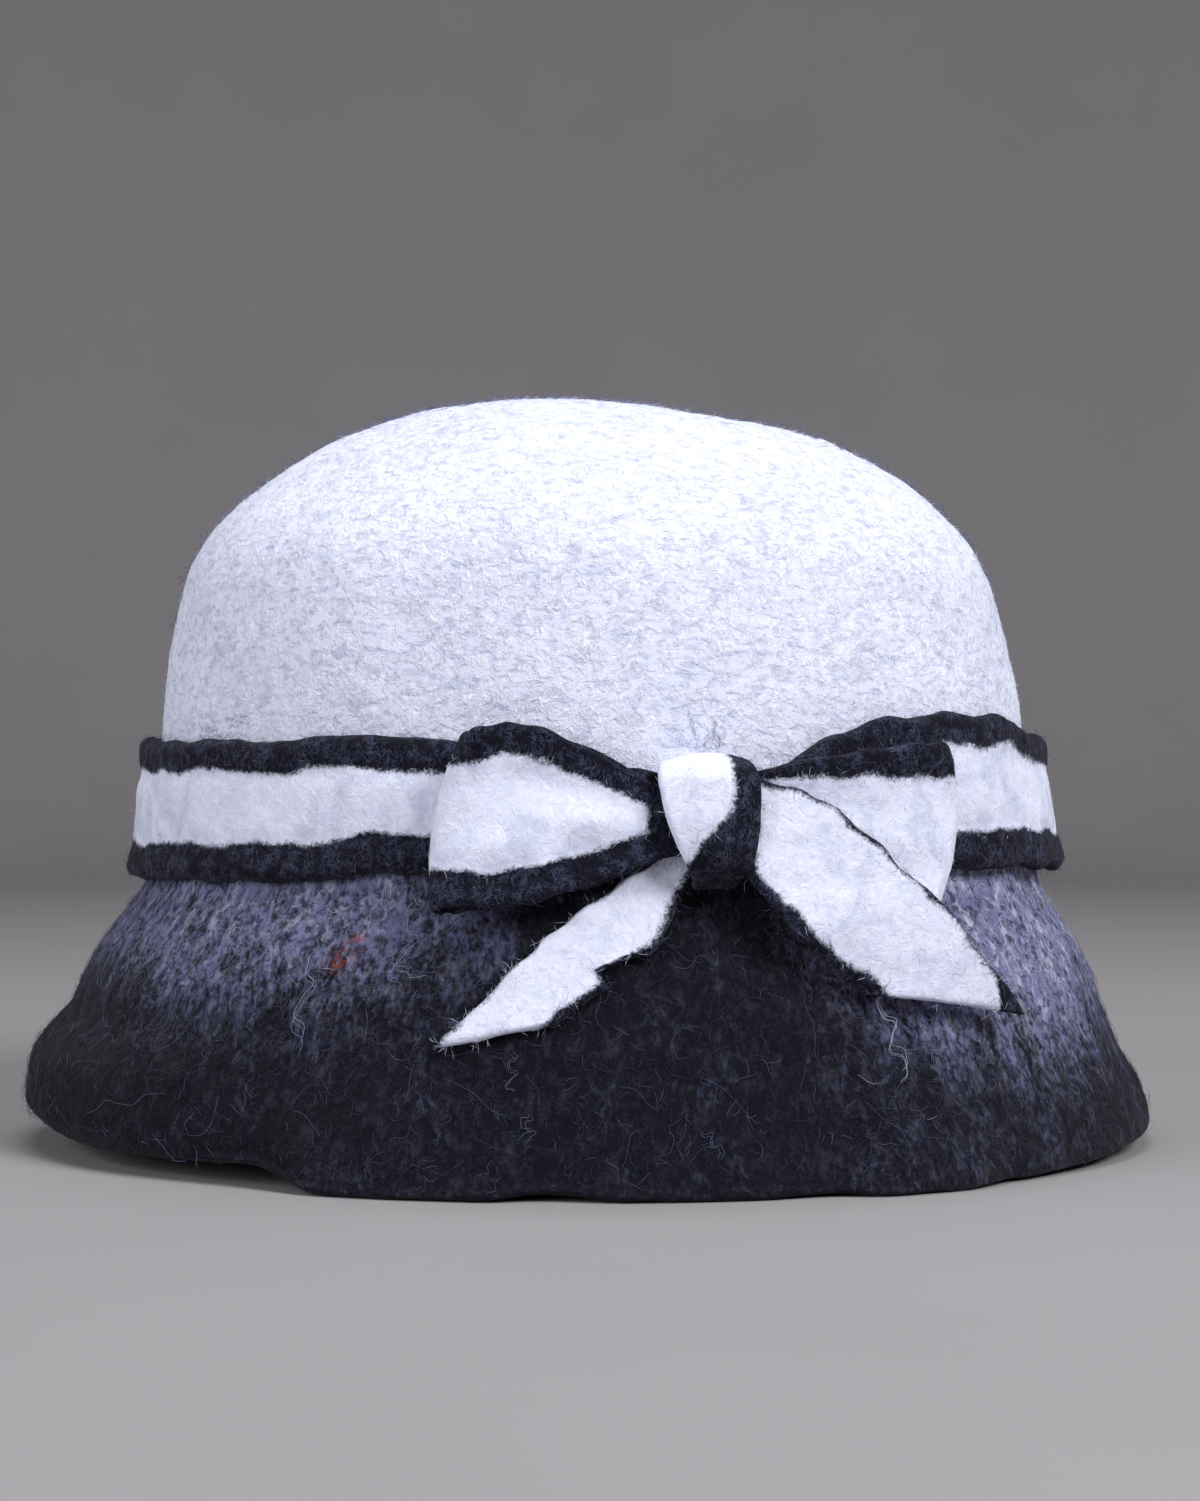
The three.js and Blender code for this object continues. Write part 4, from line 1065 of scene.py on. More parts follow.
def knot_surface(shape):
    """The knot's wrap: a closed strip carried once round the gathered band by a table, with creases."""
    bow = shape.bow
    across, thick = strip_columns(KNOT_GRID)
    share = np.arange(KNOT_GRID["stations"]) / KNOT_GRID["stations"] * len(KNOT_WRAP)
    table = np.concatenate([KNOT_WRAP[-3:], KNOT_WRAP, KNOT_WRAP[:3]])
    climb, rise, wide, side = np.moveaxis(smooth_rows(table, share + 3), -1, 0)[..., None]
    place = bow.knot_width * (side + wide * across / 2)
    front = smooth_step(0.7, 1, rise)
    climb = climb - KNOT_FRONT["dip"] * (across - 0.1) ** 2 * smooth_step(0.1, 0.4, climb)
    crease = KNOT_FRONT["crease"] * front * np.cos(across * KNOT_FRONT["waves"] + KNOT_FRONT["phase"])
    crease = crease + KNOT_FRONT["swell"] * front * (1 - across ** 2)
    standoff = shape.knot_back + (shape.knot_front - shape.knot_back) * rise + crease
    middle = shape.on_bow(place, bow.knot_height * climb, standoff)
    half = bow.knot_thickness / 2 * thick * (1 + KNOT_PUFF * front)
    half_width = bow.knot_width * wide / 2
    upper = KNOT_BORDER["upper"] + KNOT_BORDER["gain"] * smooth_step(0.15, -0.5, climb)
    black = stripes(across, half_width, upper, KNOT_BORDER["lower"])
    return strip_surface(middle, half, True, KNOT_GRID["bumps"], {"black": black})


def bow_surfaces(shape):
    """The surfaces of the bow's loops, knot and tails by the names of their pieces."""
    bow = shape.bow
    return {
        "felt_left_loop": loop_surface(
            shape, LEFT_LOOP, bow.left_loop, LEFT_FOLD, -1, LEFT_FOLDS, LEFT_BORDER),
        "felt_right_loop": loop_surface(
            shape, RIGHT_LOOP, bow.right_loop, RIGHT_FOLD, 1, RIGHT_FOLDS, RIGHT_BORDER),
        "felt_knot": knot_surface(shape),
        "felt_left_tail": tail_surface(shape, LEFT_TAIL, LEFT_ROOT, bow.left_tail, -1, LEFT_TAIL_BORDER),
        "felt_right_tail": tail_surface(shape, RIGHT_TAIL, RIGHT_ROOT, bow.right_tail, 1, RIGHT_TAIL_BORDER),
    }


def finish_piece(piece, material, slot, *nodes):
    """Material, body and stand-in nodes of a finished piece."""
    piece.data.materials.append(material)
    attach(piece, "root")
    if nodes:
        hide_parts(*nodes)
    return piece


def surface_piece(name, surface, material, slot, *nodes):
    """A piece from one of the felt surfaces."""
    piece = make_mesh(name, surface["flat"], surface["faces"], surface["values"])
    return finish_piece(piece, material, slot, *nodes)


def fibre_tubes(line, normals, thickness):
    """Thin three-sided tubes along lines of points: three corners round each point, set out by their
    cosines and sines across the line, and a point at both of its ends."""
    line = np.concatenate([line[..., :2], np.maximum(line[..., 2:], FLOOR_GAP)], axis=-1)
    count, stations = line.shape[:2]
    tangent = unit(np.gradient(line, axis=1))
    flank = unit(np.cross(tangent, normals) + 1e-9)
    crown = np.cross(tangent, flank)
    corner = np.radians([0.0, 120.0, 240.0])[None, None, :, None]
    spread = np.cos(corner) * flank[:, :, None] + np.sin(corner) * crown[:, :, None]
    rings = line[:, 1:-1, None] + thickness / 2 * spread[:, 1:-1]
    points = np.concatenate([line[:, :1], rings.reshape(count, -1, 3), line[:, -1:]], axis=1)
    size = points.shape[1]
    first, second = np.arange(3), np.arange(1, 4) % 3
    faces = [np.stack([np.zeros(3, int), 1 + second, 1 + first], axis=-1)]
    for low in range(1, 3 * (stations - 3), 3):
        faces.append(np.stack([low + first, low + second, low + 3 + second], axis=-1))
        faces.append(np.stack([low + first, low + 3 + second, low + 3 + first], axis=-1))
    low = 1 + 3 * (stations - 3)
    faces.append(np.stack([low + first, low + second, np.full(3, size - 1)], axis=-1))
    starts = np.arange(count)[:, None, None] * size
    return points.reshape(-1, 3), (np.concatenate(faces)[None] + starts).reshape(-1, 3), size


def level_axes(normals):
    """Two directions along the surface: level round the hat, and up the wall."""
    level = unit(np.cross(np.array((0.0, 0.0, 1.0)), normals) + np.array((1e-6, 0, 0)))
    return level, np.cross(normals, level)


def springing_fibres(roots, normals, turns, lengths, lifts, curls, stations, rng):
    """Lines of fibres: each runs from its root along the surface, rises off it with the square of its
    length, and sways by a sine wave."""
    count = len(roots)
    level, upward = level_axes(normals)
    heading = level * np.cos(turns)[:, None] + upward * np.sin(turns)[:, None]
    sideways = np.cross(normals, heading)
    share = np.linspace(0, 1, stations)[None, :, None]
    phase = rng.uniform(0, 2 * np.pi, count)[:, None, None]
    waves = rng.uniform(0.4, 1.1, count)[:, None, None]
    sway = curls[:, None, None] * (np.sin(2 * np.pi * waves * share + phase) - np.sin(phase))
    bob = curls[:, None, None] * 0.25 * (1 - np.cos(2 * np.pi * waves * share))
    rise = lifts[:, None, None] * share ** 2 + bob - ROOT_DEPTH
    return (roots[:, None] + heading[:, None] * lengths[:, None, None] * share
            + sideways[:, None] * sway + normals[:, None] * rise)


def lying_fibres(shape, azimuth, height, turns, bends, waves, phases, lengths, standoff, stations):
    """Lines of fibres that lie on the hat: the heading swings by two waves as the fibre goes on, and its
    steps are summed round the hat and up it."""
    share = np.linspace(0, 1, stations)[None, :]
    swing = 2 * np.pi * waves[:, None] * share + phases[:, None]
    heading = turns[:, None] + bends[:, None] * (0.7 * np.sin(swing) + 0.35 * np.sin(2.3 * swing + 1))
    step = lengths[:, None] / (stations - 1)
    side = np.cumsum(np.cos(heading) * step, axis=1)
    climb = np.cumsum(np.sin(heading) * step, axis=1)
    spin = azimuth[:, None] + side / (shape.half_length * 1.1)
    level = np.clip(height[:, None] + climb, *LYING_HEIGHTS)
    rise = standoff[:, None] * (0.2 + np.sin(np.pi * share))
    normals = shape.wall_normal(spin, shape.section_at(spin, level))
    return shape.on_hat(spin, level, rise), normals


def outward_normals(surface):
    """A surface's normals, one row for each vertex, turned to the side that its faces look to."""
    places = surface["grid"].reshape(-1, 3)
    normals = grid_normals(surface["grid"], *surface["round"]).reshape(-1, 3)
    faces = surface["faces"][0]
    first, second, third = (places[faces[:, corner]] for corner in range(3))
    looking = np.cross(second - first, third - first)
    agreement = np.einsum("ij,ij->i", looking, normals[faces[:, 0]]).sum()
    return normals if agreement > 0 else -normals


def sow(surface, count, rng, weight=None):
    """Roots of fibres, picked over a surface evenly by area: points, normals and their numbers."""
    grid = surface["grid"]
    along = np.linalg.norm(np.gradient(grid, axis=0), axis=-1)
    across = np.linalg.norm(np.gradient(grid, axis=1), axis=-1)
    area = along * np.minimum(across, WIDEST_STEP)
    keep = np.zeros(area.shape)
    keep[surface["skin"]] = 1
    chance = (area * keep).ravel()
    if weight is not None:
        chance = chance * weight
    picked = rng.choice(chance.size, count, p=chance / chance.sum())
    points = grid.reshape(-1, 3)[picked]
    normals = outward_normals(surface)[picked]
    shake = rng.normal(0, ROOT_SHAKE, points.shape)
    shake -= normals * np.einsum("ij,ij->i", shake, normals)[:, None]
    return points + shake, normals, picked


def fibre_piece(name, lines, normals, tone, thickness):
    """A piece of many fibres, each with its own tone from 0, black, to 1, white."""
    points, faces, size = fibre_tubes(lines, normals, thickness)
    return make_mesh(name, points, [faces], {"tone": np.repeat(tone, size)})


def nap_piece(name, roots, normals, tone, turns, look, rng):
    """A piece of short fibres that spring from a surface, with the sizes of the coat of that name."""
    coat = COATS[name]
    count = len(roots)
    lengths = rng.uniform(*coat["reach"], count)
    lifts = coat["lift"] * rng.uniform(0.02, 1, count) ** 3
    curls = coat["curl"] * rng.uniform(0.1, 1, count)
    lines = springing_fibres(roots, normals, turns, lengths, lifts, curls, coat["points"], rng)
    return fibre_piece(name, lines, normals[:, None], tone, look.fibre * coat["thick"])


def crown_nap(look, body, crown, rng):
    """White fibres all over the crown, most of them nearly level."""
    roots, normals, _ = sow(body, CROWN_NAP_COUNT, rng, crown)
    turns = np.radians(rng.normal(*CROWN_LIE, CROWN_NAP_COUNT))
    tones = rng.uniform(*CROWN_TONES, CROWN_NAP_COUNT)
    return nap_piece("crown_nap", roots, normals, tones, turns, look, rng)


def brim_nap(look, body, crown, heather, rng):
    """Fibres of the brim, as light as the heather that they grow on, which holds painted shadow under the
    bow, and steeper at the front.
    """
    roots, normals, picked = sow(body, BRIM_NAP_COUNT, rng, 1 - crown)
    stray = rng.normal(0.04, 0.17, BRIM_NAP_COUNT)
    tones = np.clip(heather[picked] * 0.8 + stray, *BRIM_TONES)
    lie = np.where(roots[:, 0] < 0, *BRIM_LIE)
    turns = np.radians(rng.normal(0, BRIM_LIE_SPREAD, BRIM_NAP_COUNT) + lie)
    return nap_piece("brim_nap", roots, normals, tones, turns, look, rng)


def strip_nap(look, strips, rng):
    """Fibres of the band and the bow, thicker on the black borders, and of their strip's own tone."""
    roots, normals, tones = [], [], []
    for name, count in STRIP_NAP:
        border = strips[name]["values"]["black"].ravel()
        place, normal, picked = sow(strips[name], count, rng, 0.45 + (border > -1))
        roots.append(place)
        normals.append(normal)
        dark = 0.6 * rng.uniform(0, 1, count) ** 2.5
        tones.append(np.where(border[picked] > 0, dark, rng.uniform(*STRIP_TONES, count)))
    roots, normals, tones = (np.concatenate(parts) for parts in (roots, normals, tones))
    turns = rng.uniform(0, 2 * np.pi, len(roots))
    return nap_piece("strip_nap", roots, normals, tones, turns, look, rng)


def curled_locks(shape, rng):
    """Locks of strands that start side by side and curl together down the hat."""
    lock = np.repeat(np.arange(len(LOCKS)), LOCKS[:, 5].astype(int))
    azimuth, height, length, turn, tone, _, spread, bend = LOCKS[lock].T
    count = len(lock)
    azimuth = np.radians(azimuth) + rng.normal(0, 1, count) * spread / shape.half_length
    height = height + rng.normal(0, 1, count) * spread
    turn = np.radians(turn + rng.normal(0, 2, count))
    phases = rng.uniform(0, 2 * np.pi, len(LOCKS))[lock] + rng.normal(0, 0.12, count)
    waves = rng.uniform(1.6, 2.4, len(LOCKS))[lock]
    length = length * rng.uniform(0.8, 1.1, count)
    standoff = rng.uniform(0.0003, 0.001, count)
    lines, normals = lying_fibres(
        shape, azimuth, height, turn, bend, waves, phases, length, standoff, LOCK_POINTS)
    tones = np.clip(tone + rng.normal(0, 0.06, count), 0, 1)
    return fibre_piece("curled_locks", lines, normals, tones, shape.look.fibre * LOCK_THICKNESS)


def long_hairs(shape, rng):
    """Single thin hairs that lie about on the brim."""
    azimuth = rng.uniform(-np.pi, np.pi, LONG_HAIR_COUNT)
    height = shape.hat.brim_height * rng.uniform(*HAIR_HEIGHTS, LONG_HAIR_COUNT)
    draws = [rng.uniform(low, high, LONG_HAIR_COUNT) for low, high in HAIR_RANGES]
    lines, normals = lying_fibres(shape, azimuth, height, *draws, HAIR_POINTS)
    tones = rng.uniform(*HAIR_TONES, LONG_HAIR_COUNT)
    return fibre_piece("long_hairs", lines, normals, tones, shape.look.fibre * HAIR_THICKNESS)


def crest_hairs(look, body, rng):
    """Dark hairs of the crown, thickest where it turns away from the eye, and thinner behind that line:
    the cosine between a normal and the way to the eye is eased at zero and dies off exponentially."""
    places = body["grid"].reshape(-1, 3)
    facing = np.einsum("ij,ij->i", outward_normals(body), unit(np.array(EYE) - places))
    weight = (smooth_step(*CREST_FACING, facing) * np.exp(np.minimum(facing, 0) / CREST_FADE)
              * smooth_step(*CREST_HEIGHTS, places[:, 2]))
    roots, normals, _ = sow(body, CREST_HAIR_COUNT, rng, weight)
    tones = rng.uniform(*CREST_TONES, CREST_HAIR_COUNT)
    turns = rng.uniform(0, 2 * np.pi, CREST_HAIR_COUNT)
    return nap_piece("crest_hairs", roots, normals, tones, turns, look, rng)


class NodePlan:
    """Adds nodes to a tree, linking each input to a socket or setting it to a value."""

    def __init__(self, tree):
        self.tree = tree
        self.column = 0

    def put(self, kind, settings=None, **inputs):
        """One node; an input's name is its socket's, with spaces as underscores, or in_ and its number."""
        node = self.tree.nodes.new(kind)
        node.location = (self.column * 190 - 1800, -260 * (self.column % 3))
        self.column += 1
        for key, value in (settings or {}).items():
            setattr(node, key, value)
        for key, value in inputs.items():
            place = int(key[3:]) if key.startswith("in_") else key.replace("_", " ")
            socket = node.inputs[place]
            if isinstance(value, bpy.types.NodeSocket):
                self.tree.links.new(value, socket)
            else:
                socket.default_value = value
        return node

    def maths(self, operation, first, second=0.0, clamp=False):
        """A Math node's value."""
        settings = {"operation": operation, "use_clamp": clamp}
        return self.put("ShaderNodeMath", settings, in_0=first, in_1=second).outputs[0]

    def mix(self, share, first, second):
        """A colour between two colours."""
        node = self.put("ShaderNodeMix", {"data_type": "RGBA"}, in_0=share, in_6=first, in_7=second)
        return node.outputs[2]

    def ramp(self, value, low, high, start=0.0, end=1.0):
        """A value eased from start at low to end at high."""
        settings = {"interpolation_type": "SMOOTHSTEP"}
        return self.put("ShaderNodeMapRange", settings, in_0=value, in_1=low, in_2=high, in_3=start,
                        in_4=end).outputs[0]

    def noise(self, vector, scale, detail=2.0, distortion=0.0):
        """A noise texture's value."""
        return self.put("ShaderNodeTexNoise", None, Vector=vector, Scale=scale, Detail=detail,
                        Distortion=distortion).outputs[0]

    def patches(self, vector, scale, detail, distortion, low, high, strength=1.0):
        """Soft patches from 0 to a strength, where a noise passes from low to high."""
        return self.ramp(self.noise(vector, scale, detail, distortion), low, high, 0.0, strength)

    def wander(self, vector, scale, detail, distortion, reach):
        """A noise that sways about zero, times a reach."""
        centred = self.maths("SUBTRACT", self.noise(vector, scale, detail, distortion), 0.5)
        return self.maths("MULTIPLY", centred, reach)

    def group(self, tree, *values):
        """A node group's outputs, with its inputs given in order."""
        inputs = {f"in_{index}": value for index, value in enumerate(values)}
        return self.put("ShaderNodeGroup", {"node_tree": tree}, **inputs).outputs

    def attribute(self, name):
        """A value that the piece's mesh carries."""
        return self.put("ShaderNodeAttribute", {"attribute_name": name}).outputs["Fac"]


def new_group(name, inputs, outputs):
    """An empty shader node group with named sockets, or None where it already stands."""
    if name in bpy.data.node_groups:
        return None
    group = bpy.data.node_groups.new(name, "ShaderNodeTree")
    for label, kind, value in inputs:
        socket = group.interface.new_socket(label, in_out="INPUT", socket_type=kind)
        if value is not None:
            socket.default_value = value
    for label, kind in outputs:
        group.interface.new_socket(label, in_out="OUTPUT", socket_type=kind)
    return group


def fibre_group():
    """Felt fibres: thin curling lines where a stretched noise crosses its middle, and small pits."""
    group = new_group("Felt fibres", [
        ("Vector", "NodeSocketVector", None),
        ("Fibre scale", "NodeSocketFloat", 260.0),
        ("Pit scale", "NodeSocketFloat", 300.0),
        ("Stretch up", "NodeSocketFloat", 0.5),
    ], [("Height", "NodeSocketFloat"), ("Fibres", "NodeSocketFloat"), ("Pits", "NodeSocketFloat")])
    if group is None:
        return bpy.data.node_groups["Felt fibres"]
    plan = NodePlan(group)
    given = plan.put("NodeGroupInput").outputs
    lines = None
    for share, shift, tilt in ((1.0, 0.0, 0.5), (1.6, 3.1, -0.3), (2.3, 7.7, 0.9)):
        along = plan.put("ShaderNodeCombineXYZ", None, X=1.0, Y=1.0, Z=given[3])
        away = (shift, shift * 0.7, shift * 1.3)
        moved = plan.put("ShaderNodeMapping", None, Vector=given[0], Location=away,
                         Rotation=(0.0, tilt, 0.0), Scale=along.outputs[0])
        scale = plan.maths("MULTIPLY", given[1], share)
        value = plan.noise(moved.outputs[0], scale, 1.5, 0.7)
        off_middle = plan.maths("ABSOLUTE", plan.maths("SUBTRACT", value, 0.5))
        line = plan.ramp(off_middle, 0.0, 0.045, 1.0, 0.0)
        lines = line if lines is None else plan.maths("MAXIMUM", lines, line)
    coarse = plan.noise(given[0], plan.maths("MULTIPLY", given[1], 0.7), 2.0)
    lines = plan.maths("MULTIPLY", lines, plan.ramp(coarse, 0.36, 0.62, 0.1, 1.0))
    pebble = plan.noise(given[0], given[2], 3.0, 0.5)
    pits = plan.ramp(pebble, 0.52, 0.34)
    height = plan.maths("ADD", plan.maths("MULTIPLY", pits, -0.55), plan.maths("MULTIPLY", lines, 0.4))
    result = plan.put("NodeGroupOutput")
    for index, value in enumerate((height, lines, pits)):
        group.links.new(value, result.inputs[index])
    return group


def mottle_group():
    """Two wools carded together: a share of one colour over another, broken by noise of two sizes."""
    group = new_group("Carded wool", [
        ("Vector", "NodeSocketVector", None),
        ("Share", "NodeSocketFloat", 0.5),
        ("Break", "NodeSocketFloat", 0.5),
        ("First", "NodeSocketColor", (0, 0, 0, 1)),
        ("Second", "NodeSocketColor", (1, 1, 1, 1)),
    ], [("Color", "NodeSocketColor"), ("Mask", "NodeSocketFloat")])
    if group is None:
        return bpy.data.node_groups["Carded wool"]
    plan = NodePlan(group)
    given = plan.put("NodeGroupInput").outputs
    broken = plan.maths("ADD", plan.wander(given[0], *COARSE_CARDING), plan.wander(given[0], *FINE_CARDING))
    level = plan.maths("ADD", given[1], plan.maths("MULTIPLY", broken, given[2]))
    mask = plan.ramp(level, 0.1, 1.0)
    colour = plan.mix(mask, given[3], given[4])
    result = plan.put("NodeGroupOutput")
    group.links.new(colour, result.inputs[0])
    group.links.new(mask, result.inputs[1])
    return group


def with_alpha(colour, strength=1.0):
    """A property's colour as the four numbers that a socket takes."""
    return (colour[0] * strength, colour[1] * strength, colour[2] * strength, 1.0)


def new_material(name):
    """An empty material with its Principled shader and output, and a plan to fill it."""
    material = bpy.data.materials.new(name)
    material.use_nodes = True
    tree = material.node_tree
    tree.nodes.clear()
    plan = NodePlan(tree)
    shader = plan.put("ShaderNodeBsdfPrincipled", None, Roughness=0.95)
    shader.location = (500, 0)
    output = plan.put("ShaderNodeOutputMaterial")
    output.location = (800, 0)
    tree.links.new(shader.outputs[0], output.inputs[0])
    return material, plan, shader


def set_sheen(shader, weight):
    """The soft light that loose fibres catch, set on the shader's own sockets."""
    shader.inputs["Sheen Weight"].default_value = weight
    shader.inputs["Sheen Roughness"].default_value = SHEEN_ROUGHNESS
    shader.inputs["Specular IOR Level"].default_value = WOOL_GLOSS


def dress_felt(plan, shader, colour, height, distance):
    """Gives a felt's shader its colour, its bump and the sheen of its loose fibres."""
    bump = plan.put("ShaderNodeBump", None, Strength=BUMP_STRENGTH, Distance=distance, Height=height)
    plan.tree.links.new(colour, shader.inputs["Base Color"])
    plan.tree.links.new(bump.outputs[0], shader.inputs["Normal"])
    set_sheen(shader, FELT_SHEEN)


def body_material(look):
    """White crown with painted blue-grey shade in its pits and in soft streaky patches; heather and black
    brim with lighter fibres and painted black shade in its pits.
    """
    material, plan, shader = new_material("Body felt")
    black = with_alpha(look.black)
    place = plan.put("ShaderNodeTexCoord").outputs["Object"]
    height, lines, pits = plan.group(fibre_group(), place, *BODY_FIBRES)
    level = plan.put("ShaderNodeMapping", None, Vector=place, Rotation=(0.0, 0.12, 0.0),
                     Scale=(1.0, 1.0, 2.6)).outputs[0]
    # Painted shade: soft streaky patches and the pits mix the white towards the blue-grey shadow colour.
    cloudy = plan.maths("ADD", plan.patches(level, *CROWN_BANDS), plan.patches(place, *CROWN_CLOUDS))
    shade = plan.maths("ADD", cloudy, plan.maths("MULTIPLY", pits, 0.3), True)
    white = plan.mix(shade, with_alpha(look.white), with_alpha(look.shadow))
    white = plan.mix(plan.maths("MULTIPLY", lines, 0.65), white, CROWN_FIBRE)
    fall = plan.put("ShaderNodeMapping", None, Vector=place, Scale=(1.2, 1.2, 0.5)).outputs[0]
    # The heather attribute is weak under the bow, partly as painted shadow of the bow.
    heather = plan.attribute("heather")
    carded = plan.group(mottle_group(), fall, heather, plan.ramp(heather, 0.0, 0.6, 0.42, 1.1), black,
                        with_alpha(look.heather))
    tufts = plan.maths("ADD", plan.patches(fall, *BRIM_TUFTS), plan.maths("MULTIPLY", lines, 0.5))
    shine = plan.maths("MULTIPLY", tufts, plan.ramp(heather, 0.0, 1.3, 0.03, 1.15))
    brim = plan.mix(shine, carded[0], BRIM_FIBRE)
    # Painted shade: the brim's pits darken towards black.
    brim = plan.mix(plan.maths("MULTIPLY", pits, 0.7), brim, black)
    rust = plan.maths("MULTIPLY", plan.attribute("rust"), plan.patches(place, *RUST_SPECKS))
    brim = plan.mix(rust, brim, with_alpha(look.rust))
    dress_felt(plan, shader, plan.mix(plan.attribute("crown"), brim, white), height, 0.0006)
    return material


def stripe_material(look):
    """White felt with painted blue-grey shade in soft patches, specks and pits, and black borders whose
    fibres wander into each other along a soft wavy line.
    """
    material, plan, shader = new_material("Striped felt")
    place = plan.put("ShaderNodeTexCoord").outputs["Object"]
    height, lines, pits = plan.group(fibre_group(), place, *STRIP_FIBRES)
    ragged = plan.maths("ADD", plan.wander(place, *BORDER_SWAY), plan.wander(place, *BORDER_FRAY))
    black = plan.ramp(plan.maths("ADD", plan.attribute("black"), ragged), -0.9, 0.7)
    # Painted shade: soft patches and specks stand in for the shading of puffed felt, and the pits take
    # blue-grey shade as well.
    cloudy = plan.maths("ADD", plan.patches(place, *STRIP_CLOUDS), plan.patches(place, *STRIP_SPECKS))
    shade = plan.maths("ADD", cloudy, plan.maths("MULTIPLY", pits, 0.15), True)
    white = plan.mix(shade, with_alpha(look.white), with_alpha(look.shadow))
    white = plan.mix(plan.maths("MULTIPLY", lines, 0.3), white, STRIP_FIBRE)
    dark = plan.mix(plan.maths("MULTIPLY", lines, 0.32), with_alpha(look.black), with_alpha(look.heather))
    relief = plan.maths("MULTIPLY", height, plan.ramp(black, 0.0, 1.0, 0.45, 1.0))
    dress_felt(plan, shader, plan.mix(black, white, dark), relief, 0.0007)
    return material


def fibre_material(look):
    """Loose fibres, from black through heather to white by the tone that each one carries."""
    material, plan, shader = new_material("Wool fibres")
    tone = plan.attribute("tone")
    grey = plan.mix(plan.ramp(tone, 0.0, 0.5), with_alpha(look.black), with_alpha(look.heather, 1.2))
    colour = plan.mix(plan.ramp(tone, 0.5, 1.0), grey, with_alpha(look.white))
    plan.tree.links.new(colour, shader.inputs["Base Color"])
    set_sheen(shader, FIBRE_SHEEN)
    return material


def stage_material(look):
    """Plain pale floor with the faintest cloudiness."""
    material, plan, shader = new_material("Stage")
    place = plan.put("ShaderNodeTexCoord").outputs["Object"]
    cloudy = plan.patches(place, *FLOOR_CLOUDS)
    colour = plan.mix(cloudy, with_alpha(look.floor), with_alpha(look.floor, 0.86))
    plan.tree.links.new(colour, shader.inputs["Base Color"])
    shader.inputs["Roughness"].default_value = 0.9
    return material


def stock_material(name, maker, look):
    """The named material, made once."""
    return bpy.data.materials.get(name) or maker(look)


def backdrop_points(radius, height, bend):
    """The stage: a round flat floor, a quarter circle of the given bend, and a wall, turned once round."""
    turn = np.linspace(0, np.pi / 2, STAGE_GRID["bend"])
    away = np.linspace(0.0005, radius - bend, STAGE_GRID["floor"])
    floor = np.stack([away, 0 * away], axis=-1)
    curve = np.stack([radius - bend + bend * np.sin(turn), bend - bend * np.cos(turn)], axis=-1)
    climb = np.linspace(bend, height, STAGE_GRID["wall"])
    wall = np.stack([np.full(climb.shape, radius), climb], axis=-1)
    away, up = np.concatenate([floor, curve[1:], wall[1:]]).T[..., None]
    spin = np.arange(STAGE_GRID["round"]) / STAGE_GRID["round"] * 2 * np.pi
    return np.stack([away * np.cos(spin), away * np.sin(spin), up + 0 * spin], axis=-1)


def soft_light(name, place, size, power, colour):
    """A rectangular area light that looks at the middle of the hat."""
    lamp = bpy.data.lights.new(name, "AREA")
    lamp.shape = "RECTANGLE"
    lamp.size, lamp.size_y = size
    lamp.energy = power
    lamp.color = colour
    holder = bpy.data.objects.new(name, lamp)
    holder.location = place
    aim = Vector(LIGHTS_AIM) - Vector(place)
    holder.rotation_euler = aim.to_track_quat("-Z", "Y").to_euler()
    bpy.context.scene.collection.objects.link(holder)


def soft_world(scene):
    """Plain light from all around, and the view transform that leaves the whites white."""
    world = bpy.data.worlds.new("Soft studio")
    world.use_nodes = True
    back = world.node_tree.nodes["Background"]
    back.inputs[0].default_value = WORLD_COLOUR
    back.inputs[1].default_value = WORLD_STRENGTH
    scene.view_settings.view_transform = "Standard"
    scene.world = world


def photo_camera(scene):
    """The camera, level at the photographer's place and looking along +Y."""
    lens = bpy.data.cameras.new("Photo view")
    lens.sensor_width = SENSOR
    lens.lens = FOCAL_LENGTH
    lens.clip_start = 0.01
    camera = bpy.data.objects.new("Photo view", lens)
    camera.location = EYE
    camera.rotation_euler = (math.radians(90), 0, 0)
    scene.collection.objects.link(camera)
    scene.camera = camera


class CLOCHE_OT_body(bpy.types.Operator):
    """Builds the crown and brim in one wall of felt"""
    bl_idname = "cloche.body"
    bl_label = "Crown and brim"

    def execute(self, context):
        shape = HatShape(context.scene)
        material = stock_material("Body felt", body_material, shape.look)
        surface_piece("felt_body", body_surface(shape), material, "body_felt", "hat_body")
        return {"FINISHED"}


class CLOCHE_OT_band(bpy.types.Operator):
    """Builds the striped band"""
    bl_idname = "cloche.band"
    bl_label = "Band"

    def execute(self, context):
        shape = HatShape(context.scene)
        material = stock_material("Striped felt", stripe_material, shape.look)
        piece = surface_piece("felt_band", band_surface(shape), material, "striped_felt", "band")
        return {"FINISHED"}


class CLOCHE_OT_bow(bpy.types.Operator):
    """Builds the bow's loops, tails and knot"""
    bl_idname = "cloche.bow"
    bl_label = "Bow"

    def execute(self, context):
        shape = HatShape(context.scene)
        material = stock_material("Striped felt", stripe_material, shape.look)
        made = bow_surfaces(shape)
        for name, node, cut, area, held in BOW_PIECES:
            piece = surface_piece(name, made[name], material, "striped_felt", node)
        return {"FINISHED"}


